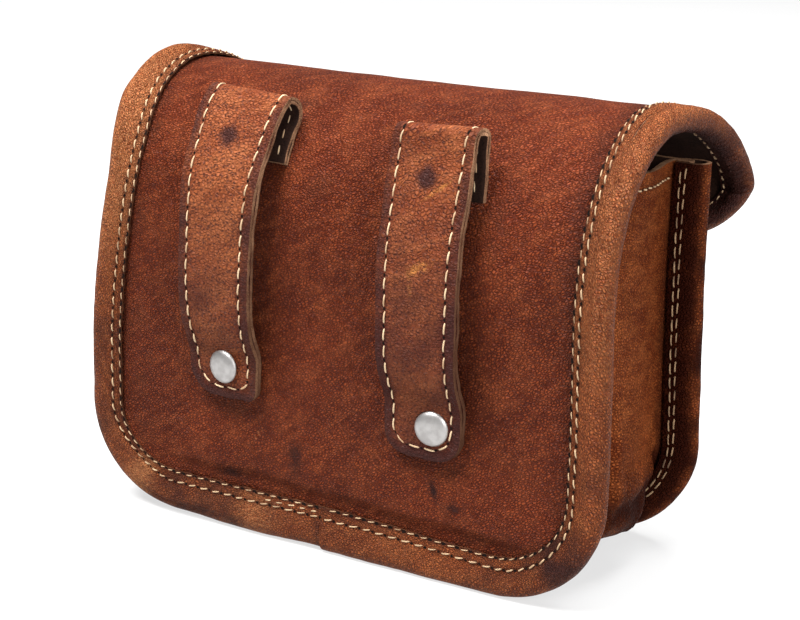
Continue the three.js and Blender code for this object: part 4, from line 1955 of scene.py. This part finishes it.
        def form(u: float, v: float) -> Formed:
            t = lerp(start, end, v)
            side = 2 * u - 1
            rough = 0.26 * waver(t, side, 7.0, seed) + 0.13 * waver(t, side * 3, 2.2, seed + 2)
            half = self.half(t, side) + rough
            w = side * half
            ragged = 0.45 * waver(w, 0, 3.5, seed + 5) * smooth(6, 0, self.length - t)
            from_edge = min(half - abs(w), self.length - t)
            foot = smooth(17, 2, self.length - t)
            # The band along the edges and the diamond mark are wear; they take the colour that elsewhere also
            # paints shade.
            wear_and_shade = 0.42 * smooth(2.5, 1.3, from_edge) + 0.2 * foot * smooth(5.0, 2.4, from_edge)
            row = 0.12 * hump(from_edge - self.row_in, 0.6)
            up = self.point(w, t, 0.0).z
            wear_and_shade += self.diamond.at(w, up)
            # Painted shade, darker towards the strap's foot by the share shade; the noise adds stains.
            stain_and_shade = self.shade * smooth(120, 52, up) + 0.25 * max(0.0, waver(w, t, 9, seed))
            rim = 0.3 * smooth(4.2, 2.0, from_edge)
            paint = (min(1.0, stain_and_shade + rim), marks(self.scuffs, w, up), min(1.0, wear_and_shade))
            relief = 0.08 * waver(w, t, 8, seed + 8) - row
            return Formed(self.point(w, t + ragged, out + relief), (w, t), paint, self.layer_thick(t))

        along = round(self.length / self.mesh_step)
        piece = formed_sheet(name, across=26, along=along, form=form, seed=seed * 11)
        thicken(piece, self.thick * self.layer_share, offset=0, edge=0.16)
        dress(piece, Slot.STRAP, finish, self.finishes.inside, self.finishes.raw)
        return piece

    def build(self) -> list[bpy.types.Object]:
        """Makes the strap's two layers, its thread and its rivet.

        Returns:
            The pieces.
        """
        node = f"belt_loop_{self.side}"
        face = self.layer_sheet(f"{node}_face", 0.5, self.finishes.strap, self.seed)
        lining = self.layer_sheet(f"{node}_lining", -0.5, self.finishes.strap, self.seed + 0.7)
        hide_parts(node)
        return [face, lining, *self.sew(), self.rivet()]

    def round_row(self) -> EdgeLine:
        """The row of thread, down one side of the strap, round its end and up the other.

        Returns:
            The line in widths and lengths of the strap.
        """
        line = EdgeLine(step=0.7)
        low = self.length - self.foot_in
        left, right = (max(3.2, radius - 1.5) for radius in self.corners)
        foot = self.widths[0] / 2 - self.row_in
        left_t, right_t = low - left, low - right
        steps = round(low / 0.7)
        lengths = [low * i / steps for i in range(steps)]
        for t in lengths:
            if t < left_t:
                line.push(Station(self.half(t, 1) - self.row_in, t, 1, 0))
        line.arc(foot - left, left_t, left, 0, 90)
        line.straight(foot - left, low, right - foot, low, 0, 1)
        line.arc(right - foot, right_t, right, 90, 180)
        for t in reversed(lengths):
            if t < right_t:
                line.push(Station(self.row_in - self.half(t, -1), t, -1, 0))
        return line

    def sew(self) -> list[bpy.types.Object]:
        """Sews the strap round its edge, on both faces, and its tab to the back.

        Returns:
            The pieces of thread and of needle holes.
        """
        work = ThreadWork(f"belt_loop_{self.side}", radius=0.22)
        line = self.round_row()
        for face in Side:

            def point(t: float, side: float, up: float, face: Side = face) -> Vector:
                station = line.at(t)
                w = station.x + side * station.nx
                over = (up - 0.1) / (self.thick / 2)
                return self.point(w, station.s + side * station.ns, face.value * (1 + over))

            work.row(point, 1.0, line.length - 1.0, self.pitch, shown=0.78, proud=0.13, eye=0.32)

        def across(run: float, side: float, up: float) -> Vector:
            return self.point(run, 3.2 + side, -1 - up / (self.thick / 2))

        work.row(across, -7.5, 7.5, self.pitch, eye=0.3)
        return work.finish(Slot.STRAP, self.finishes.cream, self.finishes.hole)

    def rivet(self) -> bpy.types.Object:
        """Makes the rivet: a low dome with a small dimple, on a post with a plate inside the bag.

        Returns:
            The rivet.
        """
        face = self.shell.back_y + self.gap + self.thick
        place = Vector((self.rivet_at[0], face, self.rivet_at[1]))
        turn = Matrix.Rotation(math.radians(self.rivet_turn), 3, "Z")
        piece = turned_fastener(f"loop_rivet_{self.side}_cap", place, turn, self.thick + 2.2, 0.9)
        dress(piece, Slot.NICKEL, self.finishes.nickel)
        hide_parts(f"loop_rivet_{self.side}")
        return piece


def left_loop(shell: Shell, finishes: Finishes) -> BeltLoop:
    """The left strap, as seen from behind.

    Args:
        shell: forms the leather.
        finishes: the bag's finishes.

    Returns:
        The strap, not yet built.
    """
    return BeltLoop(
        shell,
        finishes,
        side="left",
        centre=29.7,
        sway=-0.5,
        tab_shift=-2.0,
        tab=((-4.75, 95.0), (-6.4, 98.5), (-8.4, 101.8), (-10.7, 104.8)),
        fold=3.1,
        end=35.9,
        rivet_at=(29.3, 44.1),
        rivet_turn=-7.0,
        widths=(19.8, 20.6, 23.0),
        corners=(8.0, 3.2),
        run=(
            (-2.6, 103.6),
            (0.1, 99.0),
            (2.6, 94.6),
            (4.4, 90.2),
            (5.3, 85.4),
            (5.8, 80.6),
            (6.1, 75.7),
            (6.4, 70.7),
            (6.4, 65.7),
            (5.9, 60.5),
            (4.9, 55.2),
            (3.1, 50.6),
            (1.9, 48.2),
            (1.52, 46.4),
        ),
        diamond=Spot(0.3, 101.6, 2.3, 2.3, 0.8, 45, 4.0),
        scuffs=(Spot(3, 96, 4, 0.7, 0.3, 5), Spot(0, 84, 5, 5, 0.15)),
        shade=0.28,
        lift=(1.9, 0.7),
        seed=3.1,
    )


def right_loop(shell: Shell, finishes: Finishes) -> BeltLoop:
    """The right strap, as seen from behind.

    Args:
        shell: forms the leather.
        finishes: the bag's finishes.

    Returns:
        The strap, not yet built.
    """
    return BeltLoop(
        shell,
        finishes,
        side="right",
        centre=-27.45,
        sway=1.2,
        tab_shift=-0.5,
        tab=((-3.3, 92.4), (-3.8, 97.4), (-4.2, 102.0), (-4.4, 106.2)),
        fold=1.35,
        end=31.5,
        rivet_at=(-30.2, 39.7),
        rivet_turn=7.0,
        widths=(20.4, 20.9, 21.7),
        corners=(6.5, 6.5),
        run=(
            (-1.75, 105.3),
            (-1.05, 100.9),
            (0.5, 96.6),
            (1.9, 92.2),
            (3.3, 87.9),
            (4.6, 83.6),
            (5.4, 79.1),
            (5.95, 74.6),
            (6.2, 69.9),
            (6.4, 65.1),
            (6.5, 60.3),
            (5.9, 55.2),
            (4.4, 50.6),
            (2.5, 46.8),
            (1.7, 44.3),
            (1.52, 42.3),
        ),
        diamond=Spot(0.0, 98.6, 2.5, 2.5, 0.85, 45, 4.0),
        scuffs=(
            Spot(-3.3, 96.3, 0.7, 5.5, 0.5, 52),
            Spot(-0.6, 78.7, 5.0, 1.7, 0.46, -25),
            Spot(1.3, 73.5, 0.7, 3.2, 0.4),
            Spot(-5, 88, 4, 6, 0.12),
        ),
        shade=0.48,
        lift=(1.7, 2.6),
        seed=5.3,
    )


def turned_fastener(name: str, place: Vector, turn: Matrix, grip: float, plate: float) -> bpy.types.Object:
    """Spins a domed cap on a post with a plate at its far end.

    Args:
        name: the piece's name.
        place: where the cap sits, in millimetres.
        turn: turns +Y to the direction out of the leather.
        grip: length of the post.
        plate: thickness of the plate at its end.

    Returns:
        The fastener.
    """
    outline = (
        (0.0, 1.44),
        (0.4, 1.45),
        (0.75, 1.51),
        (1.2, 1.53),
        (2.0, 1.47),
        (2.9, 1.31),
        (3.6, 1.06),
        (4.1, 0.72),
        (4.32, 0.36),
        (4.3, 0.1),
        (4.05, -0.02),
        (1.5, -0.02),
        (1.5, -grip),
        (3.3, -grip),
        (3.4, -grip - plate * 0.5),
        (3.3, -grip - plate),
        (0.0, -grip - plate),
    )
    bm = bmesh.new()
    verts = [bm.verts.new((radius, height, 0.0)) for radius, height in outline]
    edges = [bm.edges.new(pair) for pair in zip(verts, verts[1:])]
    bmesh.ops.spin(
        bm,
        geom=verts + edges,
        cent=(0, 0, 0),
        axis=(0, 1, 0),
        angle=math.tau,
        steps=40,
        use_merge=True,
        use_duplicate=False,
    )
    bmesh.ops.remove_doubles(bm, verts=bm.verts[:], dist=1e-4)
    bmesh.ops.recalc_face_normals(bm, faces=bm.faces[:])
    bmesh.ops.transform(bm, matrix=turn.to_4x4(), verts=bm.verts[:])
    bmesh.ops.translate(bm, vec=place, verts=bm.verts[:])
    bmesh.ops.scale(bm, vec=(MM, MM, MM), verts=bm.verts[:])
    for face in bm.faces:
        face.smooth = True
    piece = linked(name, bm)
    soften(piece, 0.12, 40)
    return piece


def flap_snap(shell: Shell, finishes: Finishes, front: FullFront) -> bpy.types.Object:
    """Makes the closed snap that holds the flap.

    Args:
        shell: forms the leather.
        finishes: the bag's finishes.
        front: the full front, which the snap reaches.

    Returns:
        The snap.
    """
    s = shell.length - 19
    seat = shell.place(0, s, 0.3)
    out = (shell.place(0, s, 1.3) - seat).normalized()
    turn = Vector((0, 1, 0)).rotation_difference(out).to_matrix()
    reach = shell.back_y - seat.y - shell.front_depth - front.crown(0, seat.z)
    grip = shell.leather + 0.6
    piece = turned_fastener("flap_snap_cap", seat, turn, grip, max(0.8, reach - grip - 1.5))
    dress(piece, Slot.NICKEL, finishes.nickel)
    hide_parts("flap_snap")
    return piece


@dataclass(frozen=True)
class Studio:
    """Pale floor, soft light and the camera.

    The eye is in millimetres, angles are in degrees, and the focal length is in pixels of the frame's width.
    """

    eye: tuple[float, float, float] = (-232.7, 405.0, 191.0)
    azimuth: float = 30.0
    elevation: float = 16.3
    roll: float = 1.4
    focal: float = 1900.0
    frame_width: int = 800
    sensor: float = 36.0
    floor_shade: float = 0.27
    floor_glow: float = 0.66
    room: float = 0.2

    def camera(self) -> None:
        """Places the camera at the photograph's angle."""
        theta, rise, roll = (math.radians(angle) for angle in (self.azimuth, self.elevation, self.roll))
        back = Vector((-math.sin(theta) * math.cos(rise), math.cos(theta) * math.cos(rise), math.sin(rise)))
        right = Vector((-math.cos(theta), -math.sin(theta), 0.0))
        up = back.cross(right)
        turned_right = right * math.cos(roll) + up * math.sin(roll)
        turned_up = up * math.cos(roll) - right * math.sin(roll)
        data = bpy.data.cameras.new("camera")
        data.sensor_fit = "HORIZONTAL"
        data.sensor_width = self.sensor
        data.lens = self.sensor * self.focal / self.frame_width
        data.clip_start = 0.01
        data.clip_end = 20.0
        camera = bpy.data.objects.new("camera", data)
        facing = Matrix((turned_right, turned_up, back)).transposed().to_4x4()
        camera.matrix_world = Matrix.Translation(Vector(self.eye) * MM) @ facing
        bpy.context.scene.collection.objects.link(camera)
        bpy.context.scene.camera = camera

    def floor(self) -> None:
        """Lays a pale plain floor."""
        bm = bmesh.new()
        bmesh.ops.create_grid(bm, x_segments=2, y_segments=2, size=6.0)
        floor = linked("floor", bm)
        sketch = Sketch("pale_floor")
        shade = self.floor_shade
        sketch.surface("Base Color", (shade, shade, shade, 1.0))
        sketch.surface("Roughness", 0.8)
        sketch.surface("Specular IOR Level", 0.1)
        sketch.surface("Emission Color", (1.0, 1.0, 1.0, 1.0))
        sketch.surface("Emission Strength", self.floor_glow)
        floor.data.materials.append(sketch.material)
        floor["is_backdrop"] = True

    def light(self) -> None:
        """Hangs soft boxes round the bag and fills the room with white."""
        world = bpy.data.worlds.new("studio")
        world.use_nodes = True
        sky = world.node_tree.nodes["Background"]
        sky.inputs["Color"].default_value = (1.0, 1.0, 1.0, 1.0)
        sky.inputs["Strength"].default_value = self.room
        bpy.context.scene.world = world
        target = Vector((0.0, 0.0, 0.06))
        for name, place, size, power in (
            ("key_box", (0.3, 0.48, 1.12), 0.45, 28.5),
            ("top_box", (-0.1, -0.2, 1.2), 0.7, 24.0),
            ("fill_box", (-0.95, 0.55, 0.55), 0.5, 10.0),
        ):
            data = bpy.data.lights.new(name, "AREA")
            data.shape = "SQUARE"
            data.size = size
            data.energy = power
            lamp = bpy.data.objects.new(name, data)
            lamp.location = place
            lamp.rotation_euler = (target - Vector(place)).to_track_quat("-Z", "Y").to_euler()
            bpy.context.scene.collection.objects.link(lamp)
        bpy.context.scene.view_settings.view_transform = "Standard"

    def build(self) -> None:
        """Sets up camera, floor and light."""
        self.camera()
        self.floor()
        self.light()


def corners(box: tuple[Vector, Vector]) -> list[list[float]]:
    """A box as plain lists of numbers."""
    return [list(map(float, corner)) for corner in box]


def main() -> None:
    """Builds the bag's pieces in order and reports each."""
    logging.basicConfig(level=logging.INFO, format="%(name)s %(message)s")
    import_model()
    cad_box = corners(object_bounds())
    Studio().build()
    shell = Shell()
    finishes = Finishes()

    gusset = GatheredGusset(shell, finishes)
    gusset_line = gusset.line()
    panel = FoldedPanel(shell, finishes)
    front = FullFront(shell, finishes)
    panel.sheet()
    panel_edge = panel.bound_edge()
    panel.binding(panel_edge)
    panel.sew(panel_edge)
    gusset.sheet(gusset_line)
    gusset.sew(gusset_line)
    front.sheet()
    front_edge = front.bound_edge()
    front.binding(front_edge)
    front.sew(front_edge)

    left_loop(shell, finishes).build()
    right_loop(shell, finishes).build()
    flap_snap(shell, finishes, front)

    {"cad": cad_box, "visual": corners(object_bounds())}


if __name__ == "__main__":
    main()
